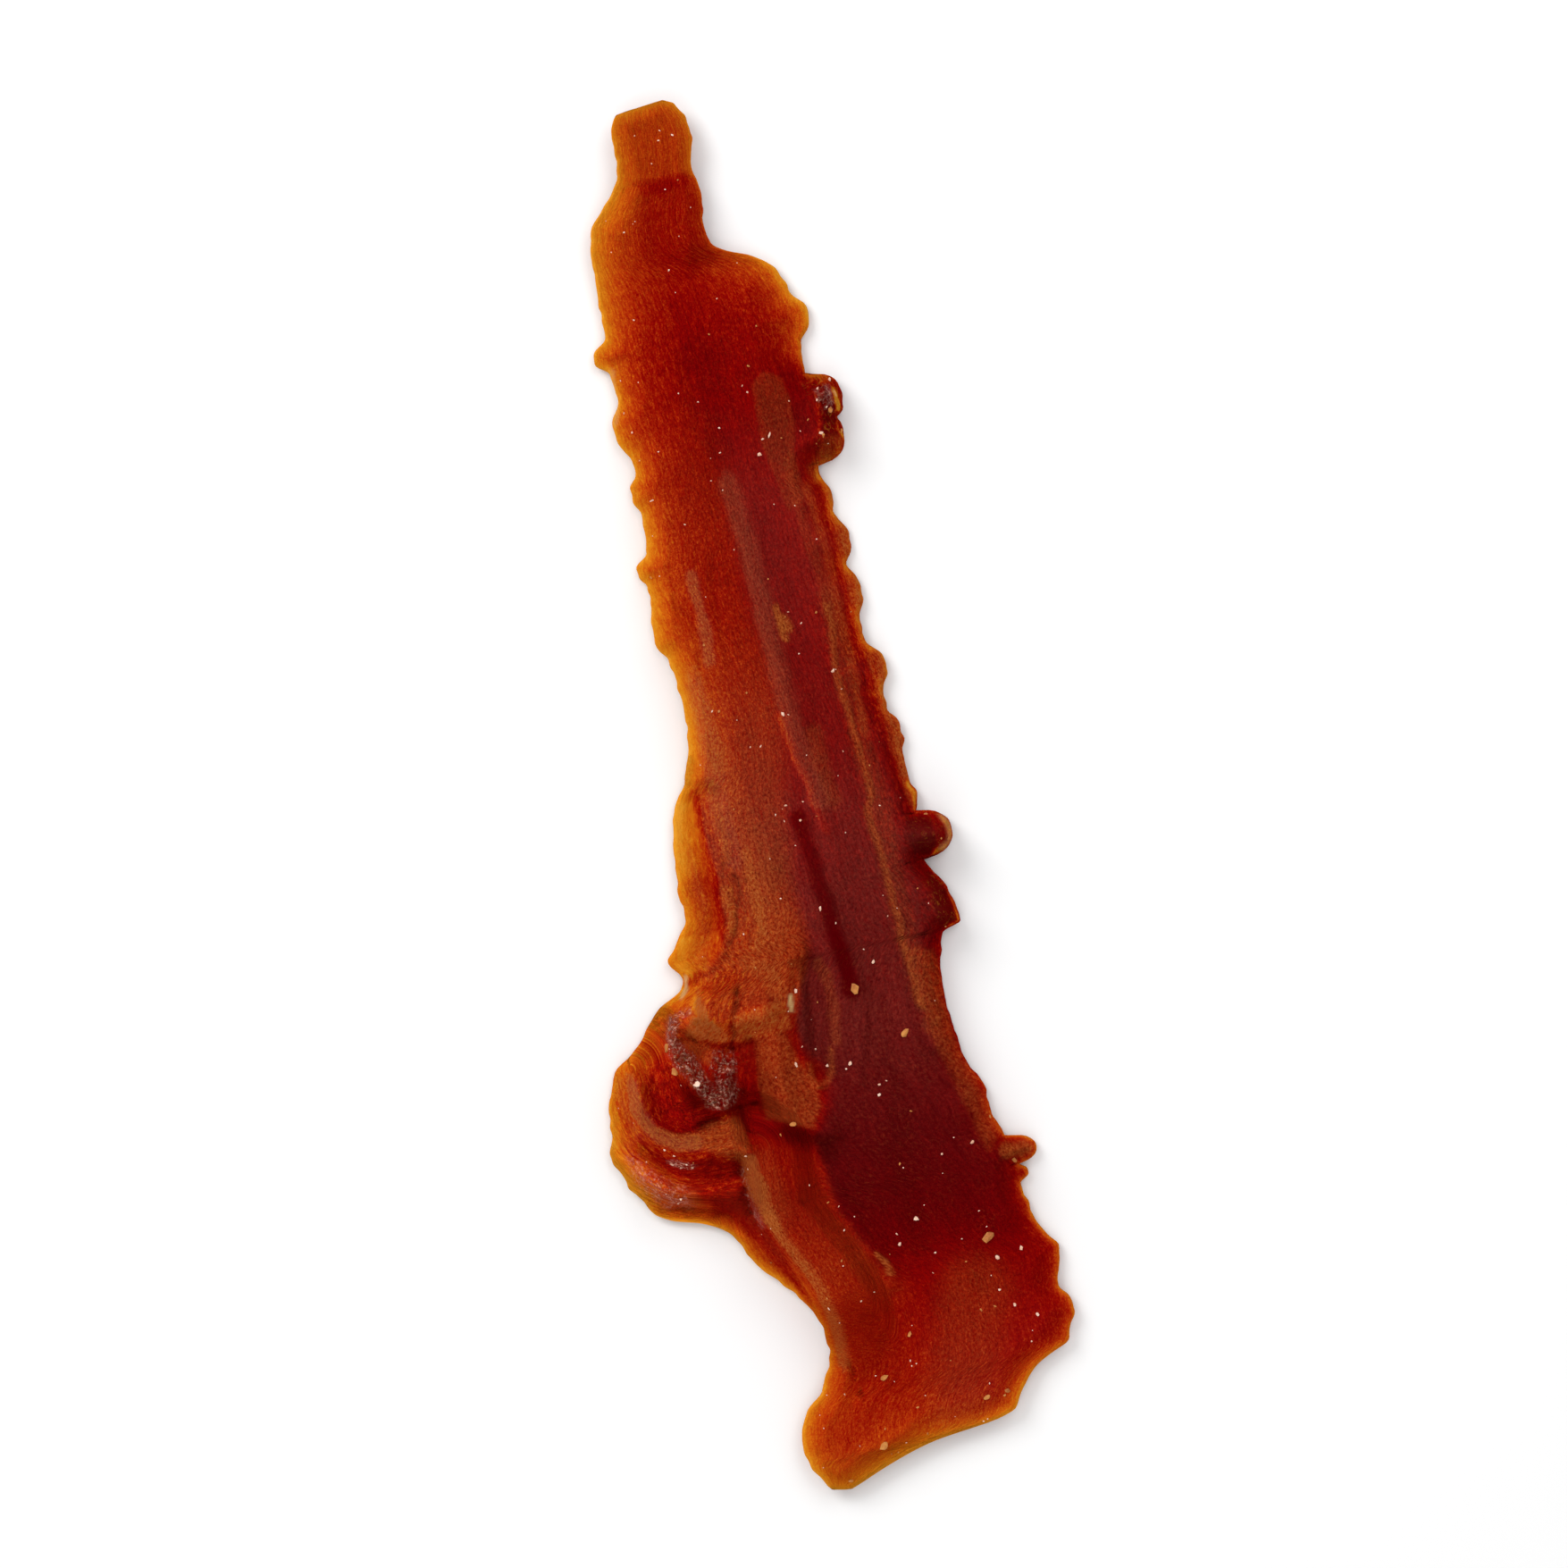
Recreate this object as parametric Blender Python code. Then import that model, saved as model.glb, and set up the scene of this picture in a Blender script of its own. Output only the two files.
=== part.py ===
"""A strip of air-dried duck breast, a chew for dogs, lying on its flat underside.

The strip is one piece of meat and one solid. +Y runs along it to the narrow tab, +Z is the side with the
folds, and the underside rests on Z = 0. The origin is under the middle of the strip's own box. The strip
is drawn in millimetres, and it is made in metres.
"""

import math

import bmesh
import bpy
import numpy as np
from mathutils import Matrix

MM = 0.001

# Driving dimensions, in millimetres
LENGTH = 140.0
BODY_THICKNESS = 4.3
TAB_THICKNESS = 1.9
END_THICKNESS = 2.9
RIM_THICKNESS = 0.8

# How far in from the rim the rim itself and the folds reach their full height, in millimetres
RIM_ROUND = 0.5
FOLD_ROUND = 1.4

# How far the dried rim and the two ends curl up off the surface, in millimetres
RIM_LIFT = 0.9
RIM_LIFT_BAND = 4.0
TAB_LIFT = 1.8
TAB_LIFT_FROM = 50.0
END_LIFT = 1.2
END_LIFT_FROM = -56.0

# The rim's curl waxes and wanes along the strip, by this share of it and over these two lengths
RIM_WAVE = 0.35
RIM_WAVE_LENGTHS = (33.0, 82.0)

# How finely the surface is laid out: points round a section, the share of them on top, and rings along it
SEGMENTS = 48
TOP_SHARE = 2 / 3
RINGS = 121
EDGE_CROWDING = 0.45
SCALLOP_FADE = 4

# The steps of the outline and of the folds' paths, in millimetres
EDGE_STEP = 0.5
FOLD_STEP = 0.4

MEAT_COLOUR = (0.28, 0.018, 0.006, 1.0)
MEAT_ROUGHNESS = 0.42

TIP = LENGTH / 2
END = -LENGTH / 2

# The body's thickness along the strip: the tab is a thin step down, and the broad end thins out
BODY_PROFILE = (
    (TIP, 0.8 * TAB_THICKNESS), (62.8, TAB_THICKNESS), (61.0, 3.0), (45.0, 3.7), (25.0, BODY_THICKNESS),
    (-40.0, BODY_THICKNESS), (-55.0, END_THICKNESS), (END, 0.8 * END_THICKNESS),
)

# The shares of the thin margin between which the thickness climbs, and the width over which the left
# margin gives way to the right one
MARGIN_CLIMB = (0.15, 1.1)
MARGIN_CHANGE = 2.0

# Where the rings lie, closer together in the folds and at both ends, as (share of the rings, place along)
RING_PLACES = (
    (0.0, END), (0.0165, -69.1), (0.149, -50.0), (0.479, -14.0), (0.926, 60.0), (0.9835, 69.2), (1.0, TIP),
)

# The two long edges, as (place along the strip, place across it)
LEFT_EDGE = (
    (TIP, 6.0), (69.4, 1.2), (68.4, 0.6), (66.0, 0.3), (63.5, 0.0), (61.0, -1.7), (58.5, -3.8),
    (56.0, -4.3), (48.0, -4.6), (42.0, -4.8), (35.0, -4.5), (28.0, -4.6), (22.0, -5.6), (16.0, -5.2),
    (10.0, -4.7), (6.0, -5.0), (4.0, -5.7), (2.5, -6.1), (1.5, -7.0), (0.0, -7.7), (-5.0, -8.6),
    (-10.5, -8.8), (-13.0, -10.4), (-14.6, -11.4), (-16.5, -10.5), (-17.5, -10.8), (-19.0, -13.4),
    (-22.0, -15.8), (-24.5, -19.0), (-28.0, -20.3), (-32.0, -20.8), (-35.0, -20.2), (-38.5, -18.4),
    (-40.0, -16.6), (-41.0, -13.4), (-43.0, -10.6), (-46.0, -9.1), (-49.0, -6.5), (-52.0, -4.3),
    (-54.5, -3.6), (-57.0, -4.0), (-60.0, -5.5), (-61.5, -7.2), (-65.0, -8.2), (-67.0, -8.0),
    (-68.6, -6.9), (-69.6, -6.2), (END, -4.6),
)
RIGHT_EDGE = (
    (TIP, 6.2), (69.4, 7.3), (66.5, 8.2), (62.5, 7.7), (60.0, 8.0), (57.0, 7.6), (55.2, 7.9),
    (54.0, 9.4), (53.0, 11.7), (51.5, 13.5), (48.0, 14.6), (42.0, 14.5), (35.0, 14.3), (29.8, 13.7),
    (28.4, 14.3), (15.0, 14.6), (8.0, 15.4), (-2.0, 16.1), (-10.0, 16.1), (-11.2, 16.7), (-13.4, 17.7),
    (-15.0, 18.1), (-16.6, 18.3), (-17.3, 16.4), (-18.6, 15.9), (-20.0, 15.5), (-24.0, 15.3),
    (-28.0, 15.4), (-31.0, 16.2), (-34.0, 17.3), (-36.0, 17.2), (-38.0, 18.1), (-42.0, 18.6),
    (-44.5, 18.9), (-47.0, 19.1), (-49.0, 20.1), (-50.5, 21.0), (-54.0, 20.4), (-59.0, 20.4),
    (-60.0, 19.9), (-61.0, 17.8), (-62.5, 15.5), (-64.0, 14.3), (-65.5, 13.4), (-66.2, 11.4),
    (-67.0, 4.8), (-68.0, 1.1), (-69.0, -1.6), (END, -4.2),
)

# Scallops along the edges, as (place along the strip, reach outwards, half of its span)
LEFT_SCALLOPS = (
    (46.1, 1.4, 1.3), (38.3, 1.0, 2.2), (32.0, 0.7, 1.5), (24.4, 1.0, 1.2), (17.8, 0.7, 2.0),
    (-8.2, 0.3, 1.0), (-32.7, 0.5, 1.3),
)
RIGHT_SCALLOPS = (
    (46.0, 1.4, 2.0), (23.4, 0.9, 1.9), (18.2, 0.9, 2.0), (10.3, 1.2, 1.75), (3.4, 0.6, 1.6),
    (-3.5, 0.6, 1.1), (-42.5, 1.1, 0.8), (-56.6, 0.8, 1.5),
)

# Browned knots of meat on the right edge, and the small tab near the broad end
KNOTS = ((37.6, 3.3, 2.6), (33.5, 2.9, 2.4), (-7.35, 3.3, 2.4), (-40.2, 2.5, 1.5))

# The thin translucent margin's width, as (place along the strip, width)
LEFT_MARGIN = (
    (TIP, 1.4), (60.0, 2.6), (50.0, 3.6), (40.0, 2.6), (28.0, 2.2), (8.0, 1.8), (3.0, 2.0), (0.5, 4.6),
    (-12.0, 4.4), (-17.0, 3.0), (-25.0, 3.2), (-35.0, 2.6), (-42.0, 3.8), (-48.0, 2.8), (-52.0, 1.6),
    (-57.0, 1.8), (END, 2.6),
)
RIGHT_MARGIN = (
    (TIP, 1.4), (56.0, 1.6), (51.0, 4.6), (42.0, 4.4), (36.0, 2.0), (28.0, 3.4), (8.0, 4.4), (-2.0, 3.0),
    (-12.0, 1.8), (-30.0, 2.2), (-45.0, 2.8), (-60.0, 3.0), (END, 3.6),
)

# Folds as (height, width on the left hand, width on the right hand, path). A negative height is a hollow.
FOLDS = {
    "left plateau": (0.9, 3.6, 3.2, ((-1.0, 34.0), (-1.2, 15.0), (-1.2, 0.0), (-1.0, -12.0),
                                     (-2.4, -18.0))),
    "long valley": (-1.2, 2.6, 2.6, ((5.0, 42.0), (6.4, 31.0), (8.2, 20.0), (9.2, 8.0), (9.6, -5.0),
                                     (9.8, -18.0), (9.8, -30.0), (9.2, -40.0), (8.8, -47.0))),
    "sinew ridge": (0.9, 1.0, 1.0, ((11.4, 18.0), (11.2, 10.0), (11.7, 2.0), (12.1, -8.0), (12.3, -20.0),
                                    (12.7, -28.0))),
    "shoulder ridge": (0.6, 1.5, 1.6, ((11.0, 39.0), (11.7, 30.0), (11.6, 21.0))),
    "centre ridge": (0.35, 1.2, 1.6, ((5.0, 27.0), (5.4, 14.0), (5.6, 4.0), (6.4, -2.5), (8.0, -8.0))),
    "right flange": (-1.5, 2.0, 0.9, ((14.2, 30.5), (14.0, 20.0), (14.2, 10.0), (14.9, 2.0), (15.2, -3.6))),
    "amber flap": (-2.2, 1.0, 3.0, ((-6.9, 0.6), (-6.6, -5.0), (-6.2, -10.0), (-7.4, -14.4))),
    "cavity": (-3.2, 2.2, 1.8, ((-9.0, -24.6), (-7.2, -26.8), (-6.3, -29.3))),
    "crust wall": (1.3, 0.9, 0.9, ((-11.8, -20.0), (-12.8, -22.8), (-11.8, -25.5), (-10.7, -28.3),
                                   (-8.6, -30.7))),
    "lobe basin": (-1.5, 1.4, 1.4, ((-15.2, -23.6), (-14.3, -27.2), (-12.0, -29.4), (-9.6, -31.2))),
    "lobe roll": (2.2, 1.3, 1.2, ((-17.2, -24.2), (-17.1, -28.9), (-15.6, -31.8), (-12.2, -33.7),
                                  (-8.1, -33.8))),
    "groove under the roll": (-1.0, 0.8, 0.9, ((-18.4, -29.6), (-17.0, -33.0), (-14.5, -35.1),
                                               (-11.6, -36.0), (-8.9, -36.2))),
    "lower band": (0.6, 1.2, 1.2, ((-17.0, -35.8), (-14.6, -37.8), (-11.0, -38.4), (-9.2, -37.8))),
    "lower sheet": (-1.6, 0.9, 2.4, ((-15.0, -39.4), (-11.2, -41.0), (-9.2, -44.6), (-7.4, -47.4),
                                     (-5.6, -50.2))),
    "central roll": (2.8, 3.6, 0.9, ((-7.0, -34.6), (-6.9, -40.4), (-5.4, -44.9), (-3.7, -48.4),
                                     (-2.2, -52.6), (-1.8, -56.5))),
    "skin curl": (0.7, 0.7, 0.9, ((3.0, -47.3), (4.0, -49.0), (3.9, -50.6))),
    "column": (1.9, 1.6, 1.2, ((-3.0, -21.4), (-2.6, -24.5), (-3.1, -28.5), (-2.6, -32.0), (0.5, -34.2))),
    "shelf": (1.4, 1.8, 1.1, ((-9.8, -20.2), (-6.2, -21.5), (-3.2, -21.6))),
    "thumbprint": (-1.8, 1.6, 0.9, ((2.3, -17.8), (1.9, -23.0), (1.2, -28.4))),
    "tongue beside it": (0.6, 1.4, 1.3, ((4.5, -17.0), (4.3, -21.6), (3.0, -27.0))),
    "raised right edge": (0.6, 0.9, 1.5, ((14.6, -27.0), (15.6, -34.0), (17.0, -40.0), (17.4, -46.0))),
    "upper knot": (2.0, 1.7, 1.6, ((16.0, 38.4), (16.2, 35.6), (15.4, 33.0))),
    "middle knot": (2.3, 2.0, 2.0, ((15.2, -6.6), (17.6, -7.5))),
    "lower knot": (1.4, 1.5, 1.3, ((15.4, -13.4), (16.4, -16.4))),
}


def through(keys, places):
    """The values at these places on a smooth curve through (place, value) keys, with no overshoot."""
    keys = sorted(keys)
    at = np.array([key[0] for key in keys])
    value = np.array([key[1] for key in keys])
    step = np.diff(at)
    slope = np.diff(value) / step
    tangent = np.zeros(len(at))
    tangent[0], tangent[-1] = slope[0], slope[-1]
    same_way = slope[:-1] * slope[1:] > 0
    harmonic = 2 * slope[:-1] * slope[1:] / np.where(same_way, slope[:-1] + slope[1:], 1)
    tangent[1:-1] = np.where(same_way, harmonic, 0)
    k = np.clip(np.searchsorted(at, places) - 1, 0, len(step) - 1)
    s = np.clip((places - at[k]) / step[k], 0, 1)
    rise = (3 - 2 * s) * s * s
    lean = step[k] * (s * (1 - s) ** 2 * tangent[k] - s * s * (1 - s) * tangent[k + 1])
    return value[k] * (1 - rise) + value[k + 1] * rise + lean


def smooth(low, high, x):
    """0 below low, 1 above high and an S between them. The two may be the other way round."""
    s = np.clip((x - low) / (high - low), 0, 1)
    return s * s * (3 - 2 * s)


def quarter_round(x, radius):
    """A quarter circle that starts upright at 0 and reaches 1 at the radius."""
    s = np.clip(x / radius, 0, 1)
    return np.sqrt(1 - (1 - s) ** 2)


def lobe(x, reach, half_span):
    """A blunt lobe: almost flat on top, and steep where it ends."""
    return reach * np.exp(-((x / half_span) ** 4))


def scallop_reach(y):
    """How far the scallops and knots stand out beyond the plain edges: on the left, and on the right."""
    left = sum(lobe(y - at, reach, half_span) for at, reach, half_span in LEFT_SCALLOPS)
    right = sum(lobe(y - at, reach, half_span) for at, reach, half_span in RIGHT_SCALLOPS + KNOTS)
    return left, right


def edges(y):
    """The left and right edge at these places along the strip."""
    left_reach, right_reach = scallop_reach(y)
    return through(LEFT_EDGE, y) - left_reach, through(RIGHT_EDGE, y) + right_reach


def outline():
    """Points round the whole outline, as rows of x and y."""
    y = np.arange(END, TIP + EDGE_STEP / 2, EDGE_STEP)
    left, right = edges(y)
    return np.vstack((np.column_stack((left, y)), np.column_stack((right[::-1], y[::-1]))))


def from_path(x, y, path):
    """Distance of each point from a path of straight pieces, and which hand of the path it is on."""
    nearest = np.full(len(x), np.inf)
    hand = np.ones(len(x))
    for (x0, y0), (x1, y1) in zip(path[:-1], path[1:]):
        dx, dy = x1 - x0, y1 - y0
        share = np.clip(((x - x0) * dx + (y - y0) * dy) / (dx * dx + dy * dy), 0, 1)
        away_x = x - x0 - share * dx
        away_y = y - y0 - share * dy
        distance = np.hypot(away_x, away_y)
        closer = distance < nearest
        nearest = np.where(closer, distance, nearest)
        hand = np.where(closer, np.sign(dx * away_y - dy * away_x), hand)
    return nearest, hand


def path_length(path):
    """Length of a path of straight pieces."""
    return sum(math.dist(a, b) for a, b in zip(path[:-1], path[1:]))


def rounded(path):
    """The path with its corners turned into curves."""
    share = np.linspace(0, 1, len(path))
    fine = np.linspace(0, 1, max(2, round(path_length(path) / FOLD_STEP)))
    columns = [through(list(zip(share, column)), fine) for column in zip(*path)]
    return list(zip(*columns))


def fold(x, y, height, left_width, right_width, path):
    """Height of one fold: a crest along its path, with a flank of its own width on each hand."""
    distance, hand = from_path(x, y, rounded(path))
    width = np.where(hand > 0, left_width, right_width)
    return height * np.exp(-((distance / width) ** 2))


def thickness(x, y, depth):
    """Thickness of the meat before its folds: a thin rim, a margin that climbs, and the body. Depth is how
    far in from the outline a point lies."""
    left, right = edges(y)
    middle = (left + right) / 2
    on_right = smooth(-MARGIN_CHANGE, MARGIN_CHANGE, x - middle)
    margin = through(LEFT_MARGIN, y) * (1 - on_right) + through(RIGHT_MARGIN, y) * on_right
    climb = smooth(*MARGIN_CLIMB, depth / margin)
    rim = RIM_THICKNESS * quarter_round(depth, RIM_ROUND)
    return rim + (through(BODY_PROFILE, y) - RIM_THICKNESS) * climb


def underside(y, depth):
    """Height of the underside: flat in the middle, curled up a little at the rim and the ends."""
    waves = math.prod(np.sin(2 * math.pi * y / length) for length in RIM_WAVE_LENGTHS)
    rim = RIM_LIFT * (1 - RIM_WAVE + RIM_WAVE * waves) * (1 - smooth(0, RIM_LIFT_BAND, depth))
    tab = TAB_LIFT * smooth(TAB_LIFT_FROM, TIP, y)
    end = END_LIFT * smooth(END_LIFT_FROM, END, y)
    return rim + tab + end


def lay_out(share, angle):
    """Where the surface's points lie in plan. Share runs from the broad end to the tab, and angle goes
    round the section from the right edge over the top."""
    y = through(RING_PLACES, share)
    left = through(LEFT_EDGE, y)
    right = through(RIGHT_EDGE, y)
    left_reach, right_reach = scallop_reach(y)
    turn = np.arccos(np.cos(angle))
    across = (1 - EDGE_CROWDING) * (1 - 2 * turn / math.pi) + EDGE_CROWDING * np.cos(angle)
    plain = (left + right) / 2 + (right - left) / 2 * across
    pushed_right = right_reach * np.maximum(across, 0) ** SCALLOP_FADE
    pushed_left = left_reach * np.maximum(-across, 0) ** SCALLOP_FADE
    return plain + pushed_right - pushed_left, y


def over_the_top(angle):
    """Angles round the section moved so that most of the points lie on the top."""
    turn = np.round(angle / (2 * math.pi) % 1.0, 6)
    on_top = math.pi * turn / TOP_SHARE
    below = math.pi * (1 + (turn - TOP_SHARE) / (1 - TOP_SHARE))
    return np.where(turn <= TOP_SHARE, on_top, below)


def heights(x, y, angle):
    """Height of each point of the surface: the top, the underside, and halfway between on the rim."""
    depth = from_path(x, y, outline())[0]
    low = underside(y, depth)
    folds = sum(fold(x, y, *values) for values in FOLDS.values()) * quarter_round(depth, FOLD_ROUND)
    least = RIM_THICKNESS * quarter_round(depth, RIM_ROUND)
    high = low + np.maximum(thickness(x, y, depth) + folds, least)
    share_up = (1 + np.sign(np.round(np.sin(angle), 6))) / 2
    return low + (high - low) * share_up


def clear_scene():
    for thing in list(bpy.data.objects):
        bpy.data.objects.remove(thing)


def meat_material():
    material = bpy.data.materials.new("dried_meat")
    material.use_nodes = True
    shader = material.node_tree.nodes["Principled BSDF"]
    shader.inputs["Base Color"].default_value = MEAT_COLOUR
    shader.inputs["Roughness"].default_value = MEAT_ROUGHNESS
    shader.inputs["Metallic"].default_value = 0.0
    return material


def make_strip(collection):
    """The strip, from a sphere whose poles become its two ends and whose rings become its sections."""
    mesh = bpy.data.meshes.new("jerky_strip")
    shape = bmesh.new()
    bmesh.ops.create_uvsphere(shape, u_segments=SEGMENTS, v_segments=RINGS, radius=1.0)
    shape.verts.ensure_lookup_table()
    ball = np.array([vertex.co for vertex in shape.verts])
    share = 0.5 - np.arcsin(np.clip(ball[:, 2], -1, 1)) / math.pi
    angle = over_the_top(np.arctan2(ball[:, 1], ball[:, 0]))
    x, y = lay_out(share, angle)
    z = heights(x, y, angle)
    for vertex, place in zip(shape.verts, np.column_stack((x, y, z)) * MM):
        vertex.co = place
    shape.to_mesh(mesh)
    shape.free()
    mesh.shade_smooth()
    mesh.materials.append(meat_material())
    strip = bpy.data.objects.new("jerky_strip", mesh)
    collection.objects.link(strip)
    return strip


def centre(strip):
    """Moves the mesh so that the origin is under the middle of its box."""
    points = np.array([vertex.co for vertex in strip.data.vertices])
    low, high = points.min(axis=0), points.max(axis=0)
    middle = (low + high) / 2
    strip.data.transform(Matrix.Translation((-middle[0], -middle[1], -low[2])))


def main():
    clear_scene()
    collection = bpy.data.collections.new("duck_jerky")
    bpy.context.scene.collection.children.link(collection)
    centre(make_strip(collection))


main()
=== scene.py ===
"""The looks of an air-dried duck breast strip: its fine surface, its colours and the crumbs on it.

The strip's form repeats the solid's own numbers, in millimetres, and is scaled to the solid's box. Its
fibres, creases, crusted knots and frayed rim are added to that form as geometry. The meat's colour comes from
a tone that is stored on the mesh, and from films and stains over it. The amber of the thin rim is partly
painted glow, some stains are painted shade, highlights on the glossy crust are painted, and painted light
brightens shaded hollows. Sizes are in millimetres unless they say otherwise, with +Y along the strip to its
narrow tab and +Z up.
"""

import math

import bmesh
import bpy
import numpy as np
from mathutils import Matrix, Vector


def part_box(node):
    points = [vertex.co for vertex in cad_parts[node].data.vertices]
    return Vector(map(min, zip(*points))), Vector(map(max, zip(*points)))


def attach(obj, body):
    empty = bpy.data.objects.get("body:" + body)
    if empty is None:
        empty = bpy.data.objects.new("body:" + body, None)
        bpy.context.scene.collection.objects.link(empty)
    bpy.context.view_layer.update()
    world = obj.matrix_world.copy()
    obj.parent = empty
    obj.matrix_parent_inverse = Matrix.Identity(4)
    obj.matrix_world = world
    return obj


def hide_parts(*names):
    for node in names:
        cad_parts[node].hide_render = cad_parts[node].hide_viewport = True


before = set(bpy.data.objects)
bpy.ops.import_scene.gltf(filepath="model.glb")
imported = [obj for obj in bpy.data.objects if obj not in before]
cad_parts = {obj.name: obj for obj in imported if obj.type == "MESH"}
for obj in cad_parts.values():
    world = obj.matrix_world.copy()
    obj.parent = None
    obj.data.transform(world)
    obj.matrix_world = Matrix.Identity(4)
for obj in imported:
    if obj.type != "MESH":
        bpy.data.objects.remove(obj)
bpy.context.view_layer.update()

STRIP = "jerky_strip"
BODY = "root"

# Driving dimensions of the strip, as in the solid
LENGTH = 140.0
BODY_THICKNESS = 4.3
TAB_THICKNESS = 1.9
END_THICKNESS = 2.9
RIM_THICKNESS = 0.8
RIM_ROUND = 0.5
FOLD_ROUND = 1.4
RIM_LIFT = 0.9
RIM_LIFT_BAND = 4.0
TAB_LIFT = 1.8
TAB_LIFT_FROM = 50.0
END_LIFT = 1.2
END_LIFT_FROM = -56.0
RIM_WAVE = 0.35
RIM_WAVE_LENGTHS = (33.0, 82.0)

TIP = LENGTH / 2
END = -LENGTH / 2
strip_low, strip_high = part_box(STRIP)
MM = (strip_high.y - strip_low.y) / LENGTH

# How finely the shown surface is laid out: points round a section, the share of them on top, sections, how
# much the points crowd at the edges, and where the sections lie, as (share of them, place along the strip)
SEGMENTS = 156
TOP_SHARE = 0.8
RINGS = 636
EDGE_CROWDING = 0.45
RING_PLACES = (
    (0, END), (0.0165, -69.1), (0.149, -50), (0.479, -14), (0.926, 60), (0.9835, 69.2), (1, TIP),
)

# How finely the outline and the curved paths are followed, and how far a crest reaches in its widths
EDGE_STEP = 0.25
FOLD_STEP = 0.4
REACH_IN_WIDTHS = 3.2

# Cells in a table of noise before it repeats, and how many noises of halving size make a rough one
CELLS = 256
OCTAVES = 3

# Thickness along the strip, and between which shares of the margin the meat climbs to it
BODY_PROFILE = (
    (TIP, 0.8 * TAB_THICKNESS), (62.8, TAB_THICKNESS), (61, 3), (45, 3.7), (25, BODY_THICKNESS),
    (-40, BODY_THICKNESS), (-55, END_THICKNESS), (END, 0.8 * END_THICKNESS),
)
MARGIN_CLIMB = (0.15, 1.1)
MARGIN_CHANGE = 2.0

# How far in from the rim the fine relief, the shades and the films are whole
FIBRE_ROUND = 2.0
CRUST_ROUND = 0.9
ROUND_BELOW = 3.0
SHADE_START = 0.3
FILM_START = (0.5, 3.5)

# How fast scallops fade inwards, as a power, the share of the fibres that a crust hides, and the share of the
# plain rim's thickness that the fine relief leaves
SCALLOP_FADE = 4
CALM_UNDER_CRUST = 0.6
LEAST_SHARE = 0.7

# The fibres' own coordinates: the strip's width in them, their lean, and where those of a roll take over, as
# distances from it and as places across or along the strip
GRAIN_WIDTH = 20.0
GRAIN_LEAN = 0.08
LOBE_GRAIN_REACH = (7.5, 4.0)
LOBE_GRAIN_FROM = (-6.0, -9.0)
ROLL_GRAIN_REACH = (6.0, 3.5)
ROLL_GRAIN_FROM = (-58.0, -50.0)

# The two long edges, as (place along the strip, place across it)
LEFT_EDGE = (
    (TIP, 6), (69.4, 1.2), (68.4, 0.6), (66, 0.3), (63.5, 0), (61, -1.7), (58.5, -3.8), (56, -4.3),
    (48, -4.6), (42, -4.8), (35, -4.5), (28, -4.6), (22, -5.6), (16, -5.2), (10, -4.7), (6, -5), (4, -5.7),
    (2.5, -6.1), (1.5, -7), (0, -7.7), (-5, -8.6), (-10.5, -8.8), (-13, -10.4), (-14.6, -11.4),
    (-16.5, -10.5), (-17.5, -10.8), (-19, -13.4), (-22, -15.8), (-24.5, -19), (-28, -20.3), (-32, -20.8),
    (-35, -20.2), (-38.5, -18.4), (-40, -16.6), (-41, -13.4), (-43, -10.6), (-46, -9.1), (-49, -6.5),
    (-52, -4.3), (-54.5, -3.6), (-57, -4), (-60, -5.5), (-61.5, -7.2), (-65, -8.2), (-67, -8), (-68.6, -6.9),
    (-69.6, -6.2), (END, -4.6),
)
RIGHT_EDGE = (
    (TIP, 6.2), (69.4, 7.3), (66.5, 8.2), (62.5, 7.7), (60, 8), (57, 7.6), (55.2, 7.9), (54, 9.4),
    (53, 11.7), (51.5, 13.5), (48, 14.6), (42, 14.5), (35, 14.3), (29.8, 13.7), (28.4, 14.3), (15, 14.6),
    (8, 15.4), (-2, 16.1), (-10, 16.1), (-11.2, 16.7), (-13.4, 17.7), (-15, 18.1), (-16.6, 18.3),
    (-17.3, 16.4), (-18.6, 15.9), (-20, 15.5), (-24, 15.3), (-28, 15.4), (-31, 16.2), (-34, 17.3),
    (-36, 17.2), (-38, 18.1), (-42, 18.6), (-44.5, 18.9), (-47, 19.1), (-49, 20.1), (-50.5, 21), (-54, 20.4),
    (-59, 20.4), (-60, 19.9), (-61, 17.8), (-62.5, 15.5), (-64, 14.3), (-65.5, 13.4), (-66.2, 11.4),
    (-67, 4.8), (-68, 1.1), (-69, -1.6), (END, -4.2),
)

# Scallops and knots that stand out beyond them, as (place along the strip, reach, half their span)
LEFT_SCALLOPS = (
    (46.1, 1.4, 1.3), (38.3, 1, 2.2), (32, 0.7, 1.5), (24.4, 1, 1.2), (17.8, 0.7, 2), (-8.2, 0.3, 1),
    (-32.7, 0.5, 1.3),
)
RIGHT_SCALLOPS = (
    (46, 1.4, 2), (23.4, 0.9, 1.9), (18.2, 0.9, 2), (10.3, 1.2, 1.75), (3.4, 0.6, 1.6), (-3.5, 0.6, 1.1),
    (-42.5, 1.1, 0.8), (-56.6, 0.8, 1.5),
)
KNOTS = ((37.6, 3.3, 2.6), (33.5, 2.9, 2.4), (-7.35, 3.3, 2.4), (-40.2, 2.5, 1.5))

# How wide the thin margins are on each side
LEFT_MARGIN = (
    (TIP, 1.4), (60, 2.6), (50, 3.6), (40, 2.6), (28, 2.2), (8, 1.8), (3, 2), (0.5, 4.6), (-12, 4.4),
    (-17, 3), (-25, 3.2), (-35, 2.6), (-42, 3.8), (-48, 2.8), (-52, 1.6), (-57, 1.8), (END, 2.6),
)
RIGHT_MARGIN = (
    (TIP, 1.4), (56, 1.6), (51, 4.6), (42, 4.4), (36, 2), (28, 3.4), (8, 4.4), (-2, 3), (-12, 1.8),
    (-30, 2.2), (-45, 2.8), (-60, 3), (END, 3.6),
)

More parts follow.
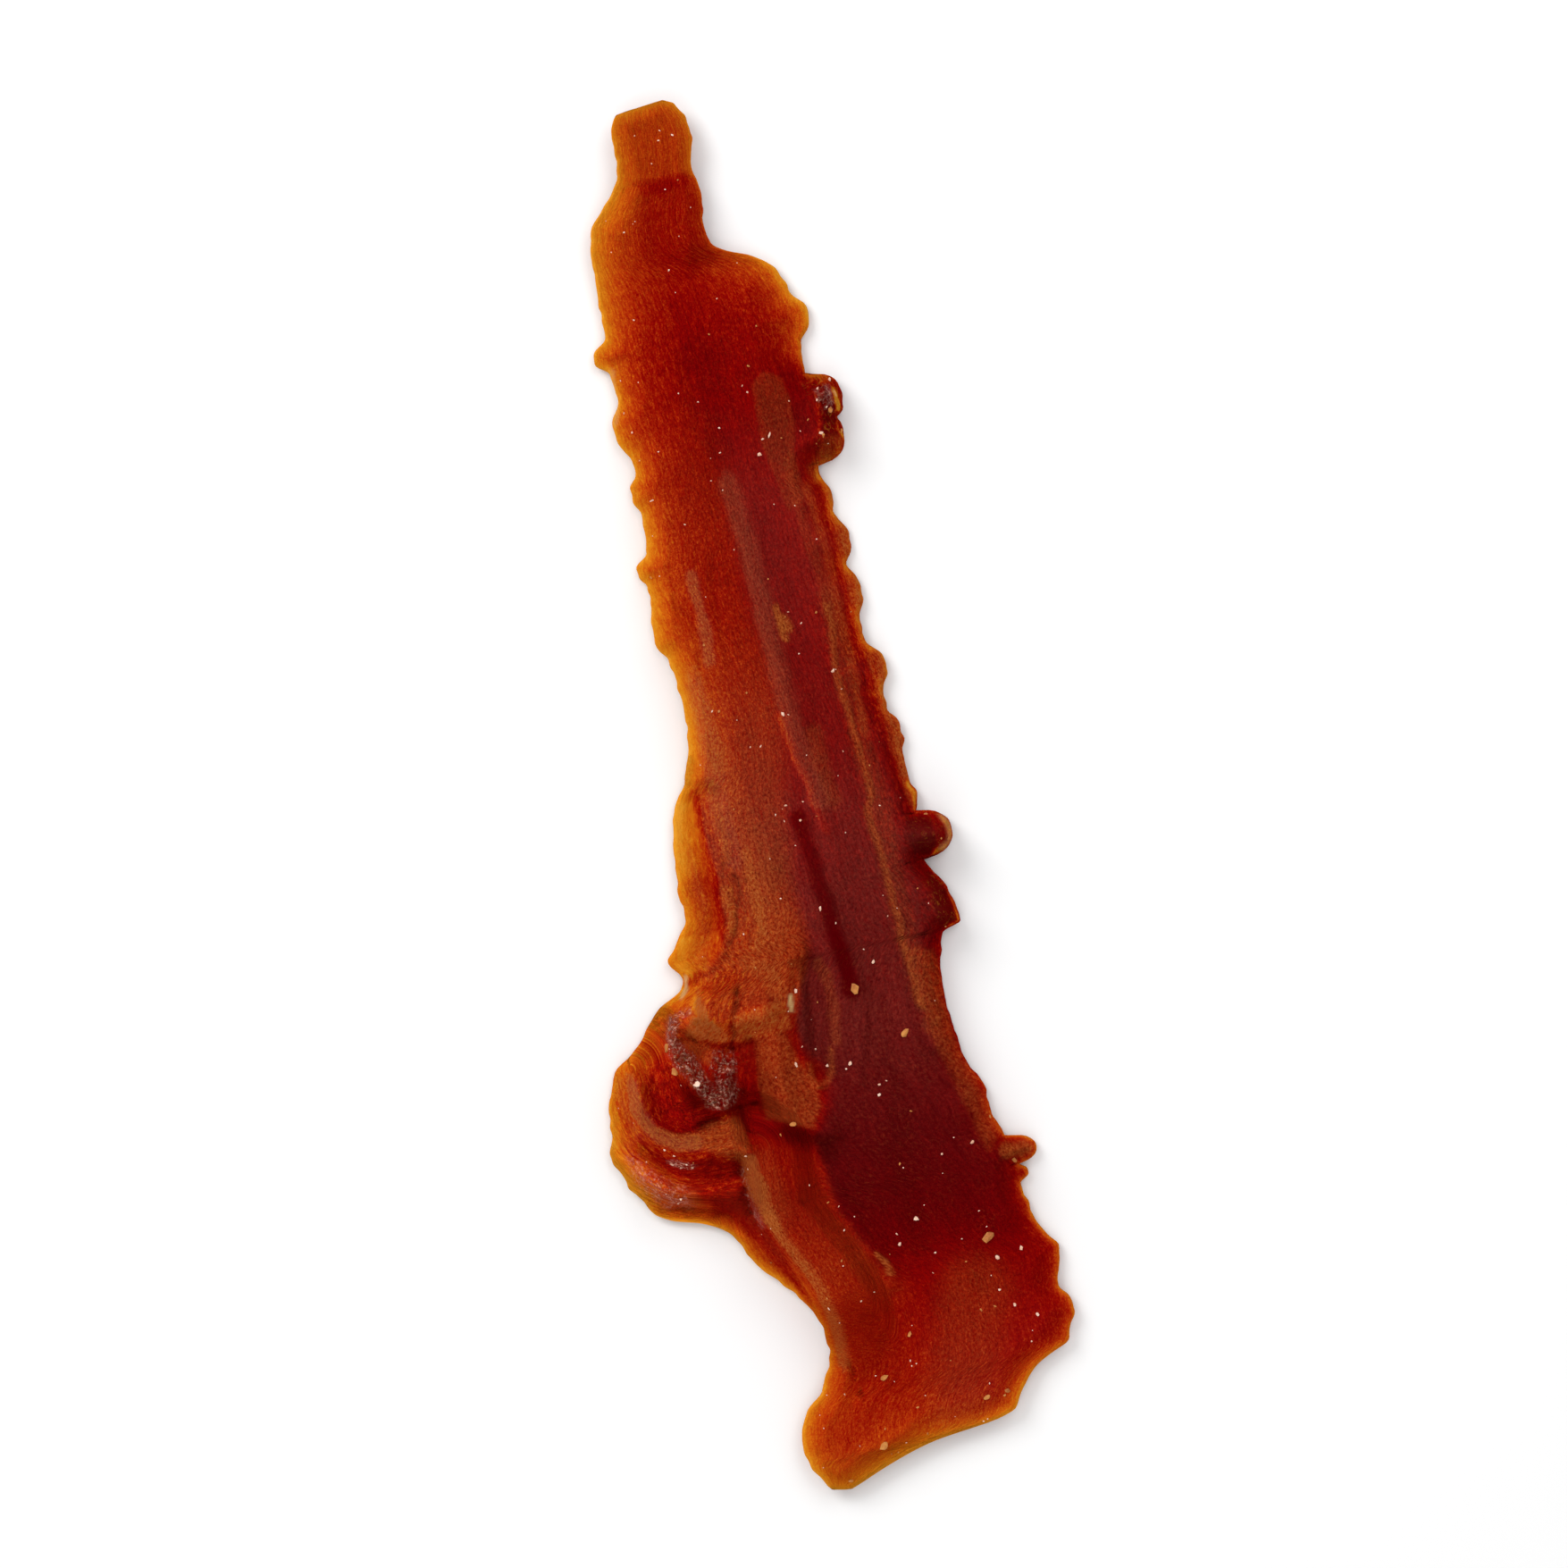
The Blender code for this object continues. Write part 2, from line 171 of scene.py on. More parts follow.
# Folds as (height, width on the left hand, width on the right hand, path). A negative height is a hollow.
FOLDS = {
    "left plateau": (0.9, 3.6, 3.2, ((-1, 34), (-1.2, 15), (-1.2, 0), (-1, -12), (-2.4, -18))),
    "long valley": (-1.2, 2.6, 2.6, ((5, 42), (6.4, 31), (8.2, 20), (9.2, 8), (9.6, -5), (9.8, -18),
        (9.8, -30), (9.2, -40), (8.8, -47))),
    "sinew ridge": (0.9, 1, 1, ((11.4, 18), (11.2, 10), (11.7, 2), (12.1, -8), (12.3, -20), (12.7, -28))),
    "shoulder ridge": (0.6, 1.5, 1.6, ((11, 39), (11.7, 30), (11.6, 21))),
    "centre ridge": (0.35, 1.2, 1.6, ((5, 27), (5.4, 14), (5.6, 4), (6.4, -2.5), (8, -8))),
    "right flange": (-1.5, 2, 0.9, ((14.2, 30.5), (14, 20), (14.2, 10), (14.9, 2), (15.2, -3.6))),
    "amber flap": (-2.2, 1, 3, ((-6.9, 0.6), (-6.6, -5), (-6.2, -10), (-7.4, -14.4))),
    "cavity": (-3.2, 2.2, 1.8, ((-9, -24.6), (-7.2, -26.8), (-6.3, -29.3))),
    "crust wall": (1.3, 0.9, 0.9, ((-11.8, -20), (-12.8, -22.8), (-11.8, -25.5), (-10.7, -28.3),
        (-8.6, -30.7))),
    "lobe basin": (-1.5, 1.4, 1.4, ((-15.2, -23.6), (-14.3, -27.2), (-12, -29.4), (-9.6, -31.2))),
    "lobe roll": (2.2, 1.3, 1.2, ((-17.2, -24.2), (-17.1, -28.9), (-15.6, -31.8), (-12.2, -33.7),
        (-8.1, -33.8))),
    "groove under the roll": (-1, 0.8, 0.9, ((-18.4, -29.6), (-17, -33), (-14.5, -35.1), (-11.6, -36),
        (-8.9, -36.2))),
    "lower band": (0.6, 1.2, 1.2, ((-17, -35.8), (-14.6, -37.8), (-11, -38.4), (-9.2, -37.8))),
    "lower sheet": (-1.6, 0.9, 2.4, ((-15, -39.4), (-11.2, -41), (-9.2, -44.6), (-7.4, -47.4),
        (-5.6, -50.2))),
    "central roll": (2.8, 3.6, 0.9, ((-7, -34.6), (-6.9, -40.4), (-5.4, -44.9), (-3.7, -48.4), (-2.2, -52.6),
        (-1.8, -56.5))),
    "skin curl": (0.7, 0.7, 0.9, ((3, -47.3), (4, -49), (3.9, -50.6))),
    "column": (1.9, 1.6, 1.2, ((-3, -21.4), (-2.6, -24.5), (-3.1, -28.5), (-2.6, -32), (0.5, -34.2))),
    "shelf": (1.4, 1.8, 1.1, ((-9.8, -20.2), (-6.2, -21.5), (-3.2, -21.6))),
    "thumbprint": (-1.8, 1.6, 0.9, ((2.3, -17.8), (1.9, -23), (1.2, -28.4))),
    "tongue beside it": (0.6, 1.4, 1.3, ((4.5, -17), (4.3, -21.6), (3, -27))),
    "raised right edge": (0.6, 0.9, 1.5, ((14.6, -27), (15.6, -34), (17, -40), (17.4, -46))),
    "upper knot": (2, 1.7, 1.6, ((16, 38.4), (16.2, 35.6), (15.4, 33))),
    "middle knot": (2.3, 2, 2, ((15.2, -6.6), (17.6, -7.5))),
    "lower knot": (1.4, 1.5, 1.3, ((15.4, -13.4), (16.4, -16.4))),
}

# Paths and corners that more than one table takes
CENTRE = ((4.2, 31), (4.9, 24), (5, 19), (5.2, 14), (5.4, 8), (6.2, 1), (6.6, -2))
LEFT_CREST = ((-1, 22.6), (-0.8, 18), (-1, 14.2))
DARK_WEDGE = ((4.4, -3), (4.8, -7), (5.3, -12), (5.8, -17), (6, -21))
ORANGE_STREAK = ((4.5, 7), (5.1, 3.6), (5.7, 0.6), (6.2, -2.6), (6.6, -5))
FLAP = ((-5.5, 1), (-5.5, -3), (-5.2, -8), (-5.4, -12), (-6.4, -14.6))
FLAP_BORDER = ((-4.9, 1.2), (-4.9, -1), (-4.4, -4), (-4, -6.2), (-4.3, -7.8), (-4.7, -9.4), (-4.7, -12.6),
    (-4.6, -14.2), (-5.2, -15.2), (-6.4, -16), (-8, -16.6), (-9.4, -17.3))
FLAP_CRACK = ((-3.2, -7.3), (-2.75, -8), (-2.75, -8.9), (-3.1, -10), (-3.5, -11), (-3.6, -12), (-4.1, -13.1),
    (-4.6, -13.9))
FLANGE = ((14.2, 30), (14.3, 22), (14.5, 16), (14.9, 8), (15.5, 0), (15.7, -4))
FLANGE_SIDE = ((12.2, 29), (12.7, 20), (12.7, 12), (12.6, 4))
SINEW = ((11.7, 17), (11.4, 13), (11, 10), (11.4, 6), (11.9, 2), (12, -2), (11.4, -4), (11.8, -10),
    (12, -16), (12.5, -24))
RIGHT_BAND = ((12.4, -18), (14.9, -19), (15.2, -28), (16.9, -34), (17.6, -38), (16.2, -39.6), (14.6, -34),
    (12.9, -27))
SHELF_GROOVE = ((-5, -18.8), (-5.6, -20.4), (-6.3, -22), (-6.8, -24.4))
CRUST_WALL = ((-12.2, -20.6), (-12.3, -23.2), (-11.2, -25.4), (-10, -28.6))
TONGUE = ((-8, -24.8), (-8, -27), (-8.6, -29.3))
ROLL_SIDE = ((-8.3, -35), (-8.5, -37.4), (-8.3, -40.2), (-7.6, -42.4), (-6.4, -45), (-5.3, -48), (-4.4, -51),
    (-3.9, -54))
PRINT_RING = ((0.2, -27.4), (0.4, -29.4), (1.5, -29.7), (2.5, -28.4), (2.8, -26.4))

# Creases and small ridges that are finer than the solid's faces, in the same form
CREASES = {
    "border of the flap": (-0.35, 0.2, 0.4, FLAP_BORDER),
    "crack beside the flap": (-0.4, 0.16, 0.2, FLAP_CRACK),
    "red crack on the left": (-0.35, 0.25, 0.4, ((-3.3, 21), (-2.1, 18), (-1.6, 16.1), (-1.8, 13.6))),
    "red streak in the middle": (-0.25, 0.5, 0.5, ((1.4, 24), (0.9, 19.2), (0.8, 13))),
    "edge of the centre film": (0.14, 1.2, 0.25, ((3.7, 27), (4.2, 21), (5, 14), (5.6, 6))),
    "orange streak": (0.3, 0.35, 0.3, ORANGE_STREAK),
    "step of the flange": (-0.14, 0.25, 0.35, ((12.6, 31.3), (13.3, 24.9), (13.5, 20.1), (13.4, 10.8),
        (13.6, 5.6), (14.3, -3))),
    "sinew line": (0.3, 0.25, 0.25, SINEW),
    "second sinew line": (0.18, 0.25, 0.25, ((12.6, 6), (13, -1), (13.1, -9), (13.5, -18), (14, -26))),
    "groove in the shelf": (-0.7, 0.35, 0.35, SHELF_GROOVE),
    "front of the shelf": (-0.6, 0.35, 0.35, ((-10.8, -22.4), (-9.4, -23.4), (-7.6, -24.1), (-6.4, -24.5),
        (-5, -23.9))),
    "glossy tongue": (1, 0.75, 0.6, ((-8.6, -24.6), (-8.1, -26.6), (-8.1, -28.4), (-8.6, -29.4))),
    "second tongue": (0.6, 0.4, 0.4, ((-6.6, -25), (-6.4, -26.6), (-6.9, -28.2))),
    "wall of the column": (-0.9, 0.3, 0.5, ((-4.7, -24), (-4.9, -27), (-5.3, -30.4))),
    "foot of the cavity": (-0.8, 0.35, 0.4, ((-5.4, -30.5), (-8, -30.5), (-9.8, -30.9), (-11.4, -31.2))),
    "red line over the roll": (-0.4, 0.3, 0.3, ((-11.4, -31.4), (-13.4, -30.4), (-15, -28.6),
        (-15.9, -26.4))),
    "lobe rib": (0.35, 0.3, 0.3, ((-15.6, -25.6), (-14.9, -27.6), (-13.2, -29.4), (-11.2, -30.4))),
    "second lobe rib": (0.3, 0.28, 0.28, ((-14.6, -25.8), (-13.9, -27.4), (-12.4, -28.8))),
    "lip under the roll": (0.4, 0.35, 0.3, ((-18, -29.2), (-17.3, -31.4), (-15.8, -33.4), (-13.6, -34.4),
        (-11.4, -34.2))),
    "fold by the roll": (0.5, 0.45, 0.3, ((-11.6, -38.2), (-10.2, -37.2), (-9, -36.9), (-8.6, -37.6))),
    "side of the roll": (-0.6, 0.25, 0.35, ROLL_SIDE),
    "red valley": (-0.7, 0.9, 1, ((-6.6, -31.8), (-4.6, -33.3), (-2, -34.8), (0.4, -36.6))),
    "edge of the basin": (-0.5, 1.2, 0.4, ((-0.4, -34.6), (0.8, -38.6), (1.9, -42), (3.2, -45.6),
        (4.3, -48))),
    "side of the thumbprint": (-0.5, 0.4, 0.25, ((0.9, -17.2), (0.3, -20), (-0.3, -23.6), (-0.7, -26))),
    "print ring": (0.35, 0.35, 0.35, PRINT_RING),
    "neck step": (-0.3, 0.35, 0.3, ((0.6, 62), (4.3, 61.9), (7.6, 62.1))),
    "fold at the shoulder": (-0.3, 0.3, 0.9, ((2.4, 60), (2.7, 52), (2.9, 44), (3.1, 37))),
    "crease at the shoulder": (-0.15, 0.5, 0.8, ((7.6, 56.4), (8.2, 51), (8.9, 45))),
    "skirt at the corner": (-0.4, 0.35, 0.35, ((-5.5, -60.2), (-6.7, -63.5), (-6.6, -66.7), (-5.4, -68.8))),
    "basin rib": (0.3, 0.5, 0.8, ((5.2, -10), (6.6, -16), (6.9, -22), (5, -30))),
}

# Where crusts and crumpled wet meat lie, as (amount, width on each hand, path), like the folds
CRUSTS = {
    "upper knot": (1, 1.7, 1.7, ((15.6, 39), (16.8, 36.6), (16.2, 33.6), (15.2, 32.2))),
    "middle knot": (0.5, 1.9, 1.9, ((16.8, -6.8), (18, -7.6))),
    "rim of the middle knot": (1.1, 0.5, 0.5, ((18.5, -5.8), (19.1, -7.2), (18.7, -8.4), (17.6, -9.2))),
    "lower knot": (0.9, 1.2, 1.2, ((16.4, -12.4), (17.2, -15.8))),
    "crust wall": (1, 0.9, 0.9, CRUST_WALL),
    "tongue": (0.8, 0.9, 0.9, TONGUE),
    "flap": (0.5, 0.4, 0.4, ((-3.8, -5.6), (-3.6, -9), (-4.2, -13))),
    "notch": (0.6, 0.6, 0.6, ((-5, 4.6), (-5.9, 2.8))),
    "tab on the right": (0.5, 0.9, 0.9, ((18.4, -39.8), (19.8, -41))),
    "nub on the right": (0.5, 0.5, 0.5, ((16, -2.4), (16.3, -4))),
}
WET = {
    "tongue": (0.8, 1, 1, TONGUE),
    "crust wall": (0.8, 0.9, 0.9, CRUST_WALL),
    "lobe ribs": (0.5, 1.5, 1.5, ((-15.2, -26.6), (-13.8, -28.8), (-12, -30.4))),
    "groove under the roll": (0.5, 0.6, 0.6, ((-15.6, -34), (-13.4, -34.8), (-11.4, -35.2))),
    "outer lobe": (0.4, 1.6, 1.6, ((-18.4, -31.4), (-17.6, -35), (-15.6, -37.6))),
}

# The tone goes from 0, a thin amber rim, over 1, red, to 2, deep maroon. The amber of the thin rim is partly
# the meat's own colour and partly painted glow of light shining through it. The meat left of a dividing line
# has one tone along the strip, and the meat right of it another.
TAB_TONE = ((TIP, 0.5), (66, 0.54), (63, 0.56), (62.2, 0.6), (61.7, 0.8), (56, 0.86))
LEFT_TONE = TAB_TONE + (
    (52, 0.95), (40, 1.1), (30, 1.14), (8, 1.18), (2, 1.3), (-5, 1.42), (-12, 1.22), (-16, 1.1), (-20, 0.9),
    (-23, 1), (-32, 1), (-36, 1.04), (-42, 1.06), (-44, 0.98), (-48, 0.88), (-52, 0.92), (-56, 0.88),
    (-60, 0.84), (-62, 0.79), (-65, 0.72), (-67, 0.6), (END, 0.5),
)
RIGHT_TONE = TAB_TONE + (
    (52, 1), (48, 1.06), (40, 1.2), (14, 1.2), (0, 1.28), (-6, 1.4), (-10, 1.5), (-16, 1.6), (-24, 1.65),
    (-30, 1.8), (-36, 1.9), (-40, 1.85), (-44, 1.7), (-47, 1.48), (-50, 1.2), (-54, 1.06), (-58, 0.98),
    (-62, 1.02), (-64, 0.96), (-66, 0.82), (END, 0.6),
)
DIVIDE = (
    (TIP, 4.2), (50, 5.4), (36, 4.4), (20, 4.5), (10, 4.9), (4, 4.2), (0, 3.4), (-6, 2.8), (-10, 2.3),
    (-15, 2.7), (-18, 2), (-20, 1), (-24, 0.1), (-26, 0.4), (-29, 2), (-32, 1.4), (-35, -0.5), (-38.5, -0.1),
    (-42, 0.2), (-44, 1.1), (-46, 2), (-48, 2.9), (-52, 5.4), (END, 7),
)
DIVIDE_SOFTNESS = (
    (TIP, 2), (4, 1.8), (-6, 1.4), (-14, 1), (-20, 0.5), (-24, 0.4), (-29, 1.2), (-32, 1.2), (-35, 0.6),
    (-38.5, 0.45), (-46, 0.5), (-50, 1.5), (-56, 2.5), (END, 3),
)

# The tone at the very rim, and how far in from it the tone gets two thirds of the way to the meat's
LEFT_RIM = (
    (TIP, 0.05), (60, 0), (2, 0), (-6, 0.08), (-14, 0.08), (-18, 0.1), (-22, 0.25), (-26, 0.1), (-32, 0),
    (-48, 0), (-54, 0.15), (-60, 0), (END, 0),
)
RIGHT_RIM = (
    (TIP, 0.05), (62, 0.2), (58, 0.4), (54, 0.3), (51.5, 0), (46, 0), (43.5, 0.2), (40.5, 0.25), (38.5, 0.6),
    (34, 0.6), (31, 0.3), (26, 0.15), (22, 0.25), (18, 0.1), (14, 0.25), (10, 0), (6, 0.2), (0, 0.3),
    (-4.6, 0.5), (-6, 0.6), (-28, 0.8), (-33, 0.45), (-40, 0.15), (-50, 0.12), (-60, 0.15), (-64, 0.05),
    (END, 0),
)
LEFT_FADE = (
    (TIP, 0.9), (63, 1.2), (61.5, 2.6), (58, 3.6), (51, 3.3), (46, 2.8), (42, 2.7), (38, 3.2), (34, 2.9),
    (30, 3.4), (20, 4.3), (12, 4.6), (4, 5.2), (-4, 6.6), (-8, 5.6), (-12, 6), (-16, 5.5), (-20, 3.8),
    (-24, 3.8), (-28, 4.4), (-31, 4.6), (-36, 4.2), (-40, 1.8), (-44, 2), (-50, 1.7), (-54, 1.3), (-57, 1.4),
    (-60, 1.7), (-62, 1.9), (-66, 1.8), (END, 1.2),
)
RIGHT_FADE = (
    (TIP, 0.9), (64, 0.6), (57, 0.5), (54.5, 0.7), (52.5, 1.8), (50, 2.5), (46, 2.5), (43, 1.9), (40, 0.8),
    (31, 0.7), (26, 0.9), (10, 0.8), (0, 0.5), (-5, 0.5), (-8, 0.45), (-25, 0.4), (-32, 0.7), (-38, 0.9),
    (-42, 1.1), (-47, 1), (-51, 0.7), (-58, 0.8), (-62, 1.8), (-67, 1.9), (END, 1.4),
)

# How much of a thin brown film lies on the meat left of the dividing line, and of a purplish haze on both
LEFT_FILM = (
    (TIP, 0), (44, 0), (36, 0.03), (28, 0.07), (20, 0.05), (12, 0.12), (4, 0.2), (-4, 0.21), (-10, 0.29),
    (-19, 0.3), (-24, 0.04), (-30, 0), (-36, 0.02), (-42, 0.08), (-48, 0.12), (-54, 0.02), (-60, 0.02),
    (END, 0.06),
)
NO_FILM = ((TIP, 0), (END, 0))
LEFT_HAZE = (
    (TIP, 0), (16, 0), (8, 0.04), (2, 0.08), (-4, 0.12), (-10, 0.08), (-16, 0), (END, 0),
)
RIGHT_HAZE = (
    (TIP, 0), (40, 0), (34, 0.04), (28, 0.09), (20, 0.09), (12, 0.06), (4, 0.06), (-4, 0.13), (-10, 0.14),
    (-16, 0.12), (-24, 0.12), (-31, 0.06), (-36, 0.03), (-50, 0), (-60, 0.03), (-66, 0.05), (END, 0.05),
)

# Painted lines take the folds' form too: (amount, width on the left hand, width on the right hand, path).
# These make the tone deeper or, below 0, lighter.
SHADES = {
    "right of the shoulder fold": (0.14, 3, 0.3, ((2.7, 52), (2.9, 44), (3.2, 35))),
    "centre film": (0.08, 3, 0.25, ((4.1, 25), (4.4, 20), (5.1, 14), (5.6, 8), (6.2, 0))),
    "purple line": (0.1, 0.25, 1.6, ((8, 27), (9.2, 16), (10.2, 8), (10.5, 0), (10.5, -8), (10.6, -17))),
    "flange": (-0.2, 0.5, 0.9, FLANGE),
    "left of the flange": (-0.2, 0.7, 0.5, FLANGE_SIDE),
    # Painted shade: deeper tone in the recess beside the upper knot
    "shade in the recess beside the knot": (0.25, 1, 0.9, ((13.4, 41), (13.2, 38), (13.2, 34.8))),
    "upper patch": (0.3, 1.8, 1.1, ((10.2, 39), (10.2, 36), (10, 33))),
    "orange streak": (-0.5, 0.7, 0.25, ORANGE_STREAK),
    "dark wedge": (0.42, 1, 0.9, DARK_WEDGE),
    "left of the centre": (0.16, 1.5, 1.5, ((1.2, 7), (1, 2), (1, -4), (1.8, -8))),
    "valley floor": (0.1, 1.8, 1.8, ((6.8, -12), (7, -20), (5.6, -27))),
    "thumbprint": (0.25, 0.75, 0.4, ((1.3, -17.4), (0.9, -20), (0.4, -23.4), (0, -25.8))),
    "border of the flap": (0.25, 0.15, 0.8, FLAP_BORDER),
    "crack beside the flap": (0.5, 0.16, 0.16, FLAP_CRACK),
    "groove in the shelf": (0.45, 0.3, 0.3, SHELF_GROOVE),
    "red line over the roll": (0.35, 0.35, 0.35, ((-16, -28.6), (-15.2, -30), (-13, -31.2), (-11, -31.3),
        (-9.8, -30.8))),
    "red valley": (0.4, 1.2, 1, ((-6.8, -31.8), (-5, -32.6), (-3.4, -33.4), (-1.6, -34.6))),
    "outer band of the lobe": (0.12, 0.6, 0.6, ((-18.9, -27.5), (-18.9, -30.5), (-18.6, -33))),
    "over the shelf": (0.22, 1, 0.8, ((-4.8, -19.6), (-2, -20.2))),
    # Painted shade: deeper tone in the crease along the west side of the central roll
    "side of the roll": (0.15, 0.1, 0.65, ROLL_SIDE),
    "crescent of the knot": (-1, 0.45, 0.5, ((18.7, -6), (19.2, -7.4), (18.9, -8.6), (18, -9.1),
        (17.2, -9.3))),
    "amber fleck": (-1.2, 0.3, 0.25, ((16.6, 38), (16.8, 37), (16.8, 36.2))),
    "third fleck": (-0.8, 0.2, 0.2, ((16.5, 35.2), (16.2, 34), (16.8, 33.5))),
    "left border of the knot": (-0.5, 0.15, 0.15, ((14.9, 38.2), (14.8, 35.6), (14.6, 33.8), (14.3, 32))),
    "outer side of the knot": (0.25, 0.35, 0.35, ((16.8, 39.4), (17.4, 38.2), (17.4, 36.8))),
    "top rim of the knot": (-0.35, 0.6, 0.6, ((14.8, 40.6), (15.8, 39.6), (16.6, 39.1))),
    "lower rim of the knot": (-0.3, 0.6, 0.6, ((16.6, 33.2), (15.9, 32.3), (14.8, 31.6), (13.9, 31),
        (13.2, 29.8))),
    "rim of the lower knot": (-1.2, 0.4, 0.4, ((17.9, -13.8), (18.2, -15.2), (18.2, -16.6), (17.3, -17))),
    "nub on the right": (-0.7, 0.45, 0.5, ((16, -2.2), (16.3, -3.2), (16.3, -4.4))),
}

# Painted areas, as (amount, softness of the edges, corners)
SHADE_AREAS = {
    "neck": (0.22, 0.3, ((1.5, 62.4), (7, 62.4), (6.8, 60.8), (2.2, 60.8))),
    "flap": (-0.18, 0.8, ((-8, 0.8), (-5.8, 0.8), (-5.2, -3), (-5.4, -6.5), (-8.6, -6.5))),
    "end of the flap": (-0.15, 0.3, ((-9.4, -12.5), (-5.8, -12.5), (-5.4, -14.8), (-6.6, -15.6),
        (-9.4, -16.7), (-10.6, -15))),
    "shelf": (-0.33, 0.3, ((-9.4, -18), (-8.4, -20), (-7.2, -21.4), (-5.8, -20.8), (-2.4, -20.6),
        (-0.8, -20.8), (-0.6, -23.4), (-4.2, -23.8), (-6.9, -23.6), (-8.4, -23.5), (-10.8, -22.2),
        (-10, -20.4))),
    "pit": (0.2, 0.15, ((-4.3, -24.1), (-4.4, -26), (-4.7, -28.7), (-5, -30.6), (-7.5, -30.4),
        (-10.9, -30.6), (-11.9, -29.6), (-12, -28), (-11, -26.6), (-9.8, -27.2), (-8.6, -25.2),
        (-6.8, -25.2), (-6, -24.1))),
    "red basin": (0.3, 0.35, ((-15.6, -25.2), (-13.6, -23), (-13.1, -25.4), (-11.6, -27), (-11.6, -30.4),
        (-10, -31), (-12.2, -31.3), (-14.6, -30), (-15.9, -28))),
    "groove under the roll": (0.38, 0.22, ((-18, -30.6), (-16.8, -32.2), (-15.6, -33.6), (-13.4, -34.1),
        (-11, -34.4), (-8.9, -35.6), (-8.6, -36.6), (-9.6, -37), (-12, -36.3), (-14.8, -35.4),
        (-15.9, -34.5), (-17, -32.8), (-18, -31.2))),
    # Partly the meat's deeper red, partly painted shade that darkens the lower band's slope where the lamps
    # light it
    "under the groove": (0.22, 0.25, ((-14.4, -36.2), (-9.4, -37), (-8.7, -38.4), (-9.4, -40.4),
        (-12.4, -40.4), (-12, -38.8), (-14, -38))),
    "below the fold": (0.3, 0.3, ((-12, -38.6), (-11.2, -38.1), (-9.8, -38.3), (-8.6, -37.9), (-8.4, -40),
        (-7.7, -42.4), (-6, -46.4), (-5, -49.8), (-6.6, -47.6), (-8.6, -43.4), (-10.6, -40.6))),
    "column": (0.2, 0.5, ((-4.4, -27), (-1, -27), (0.8, -31.6), (-0.4, -33.6), (-4.8, -31.6))),
    # Lighter tone on the raised right edge: partly the meat's lighter colour, partly painted light on the
    # slope that faces away from the key light
    "right edge": (-0.3, 0.5, RIGHT_BAND),
    "right of the basin": (-0.12, 1, ((12.6, -33), (14.6, -33), (16.4, -40), (15, -40))),
    "upper knot": (0.55, 0.5, ((15.2, 37.6), (16.2, 37.8), (16.6, 36.6), (16.6, 34.6), (16.2, 33.4),
        (14.9, 33.4))),
    "middle knot": (0.7, 0.35, ((14.6, -6), (16.4, -5.2), (17.3, -6), (17.4, -8.4), (16.6, -9.3),
        (15, -8.8))),
    "lower knot": (0.65, 0.35, ((16, -11), (16.6, -12.4), (17.6, -14.2), (17.8, -16), (17.4, -16.6),
        (16, -16.8))),
}

# A matte brown bloom that has dried on the meat
BLOOMS = {
    "skin curl": (0.6, 0.3, 0.25, ((3.1, -47.4), (3.9, -48.6), (4, -49.6))),
    "right shoulder": (0.1, 0.8, 0.5, ((10.8, 32), (10.9, 26), (11.6, 20), (11.9, 14))),
    "centre": (0.12, 1.3, 0.7, CENTRE),
    "tan spot": (0.7, 0.4, 0.3, ((6.5, 18), (6.6, 16.8), (6.8, 14.8))),
    "wide end of the tan spot": (0.7, 0.6, 0.5, ((7.1, 16.5), (7.2, 15.8))),
    "left red crack": (-0.2, 0.3, 0.35, ((-3.2, 19.6), (-2.5, 17.6))),
    "flap": (-0.3, 0.5, 1.1, FLAP),
    "below the flap": (-0.2, 1, 1, ((-7.6, -18), (-5.6, -17.4))),
    "dark wedge": (-0.15, 1, 0.9, DARK_WEDGE),
    "right of the centre": (0.14, 1, 0.7, ((7.6, 5), (7.6, 3), (8, -2))),
    "left plateau": (0.35, 0.5, 0.6, LEFT_CREST),
    "left plateau below": (0.25, 0.9, 0.9, ((-2.8, 13.2), (-2.6, 8), (-2.2, 3.6))),
    "plateau": (0.12, 1.7, 1.5, ((-2.2, 4), (-1.8, 0), (-0.8, -6), (-0.6, -10), (-1, -16.6))),
    "plateau crest": (0.25, 0.6, 0.6, ((-1.5, -5.4), (-1.2, -9), (-1.4, -13), (-2.4, -15))),
    "beside the flap": (0.42, 0.45, 0.4, ((-4.1, -8.4), (-4.1, -11), (-4.2, -12.8))),
    "flap top": (0.25, 0.5, 0.5, ((-3.4, 2.4), (-3.4, -1), (-3.2, -5.6))),
    "tab on the right": (0.45, 0.8, 0.8, ((18, -40), (20, -40.2))),
    "flange": (0.2, 0.9, 0.35, FLANGE),
    "rim of the flange": (0.45, 1, 0.5, ((14.6, 31), (14.9, 26), (15.1, 20), (15, 15), (15.8, 11), (15.6, 8),
        (16, 3), (15.9, -1))),
    "sinew": (0.3, 0.4, 0.35, SINEW),
    "left of the flange": (0.16, 0.6, 0.4, FLANGE_SIDE),
    "beside the sinew": (0.1, 1.2, 1, ((12, 18), (11.8, 8), (12.4, -4), (12.4, -16), (13.2, -26))),
    "tongue": (0.16, 0.6, 0.6, ((3.4, -17.6), (4, -21), (3.5, -25.6))),
    "over the shelf": (0.2, 0.9, 1, ((-3.4, -16.2), (-1.6, -17.6), (-1, -19.6))),
    "print ring": (0.25, 0.35, 0.35, PRINT_RING),
    "crest of the roll": (0.55, 0.9, 0.3, ((-6.9, -41.6), (-5.9, -43.8), (-4.7, -46.4), (-3.6, -49.2),
        (-2.8, -53), (-2.7, -57.4))),
    "patch at the end": (0.12, 3.6, 3.6, ((12, -53), (10, -58), (8, -63))),
}
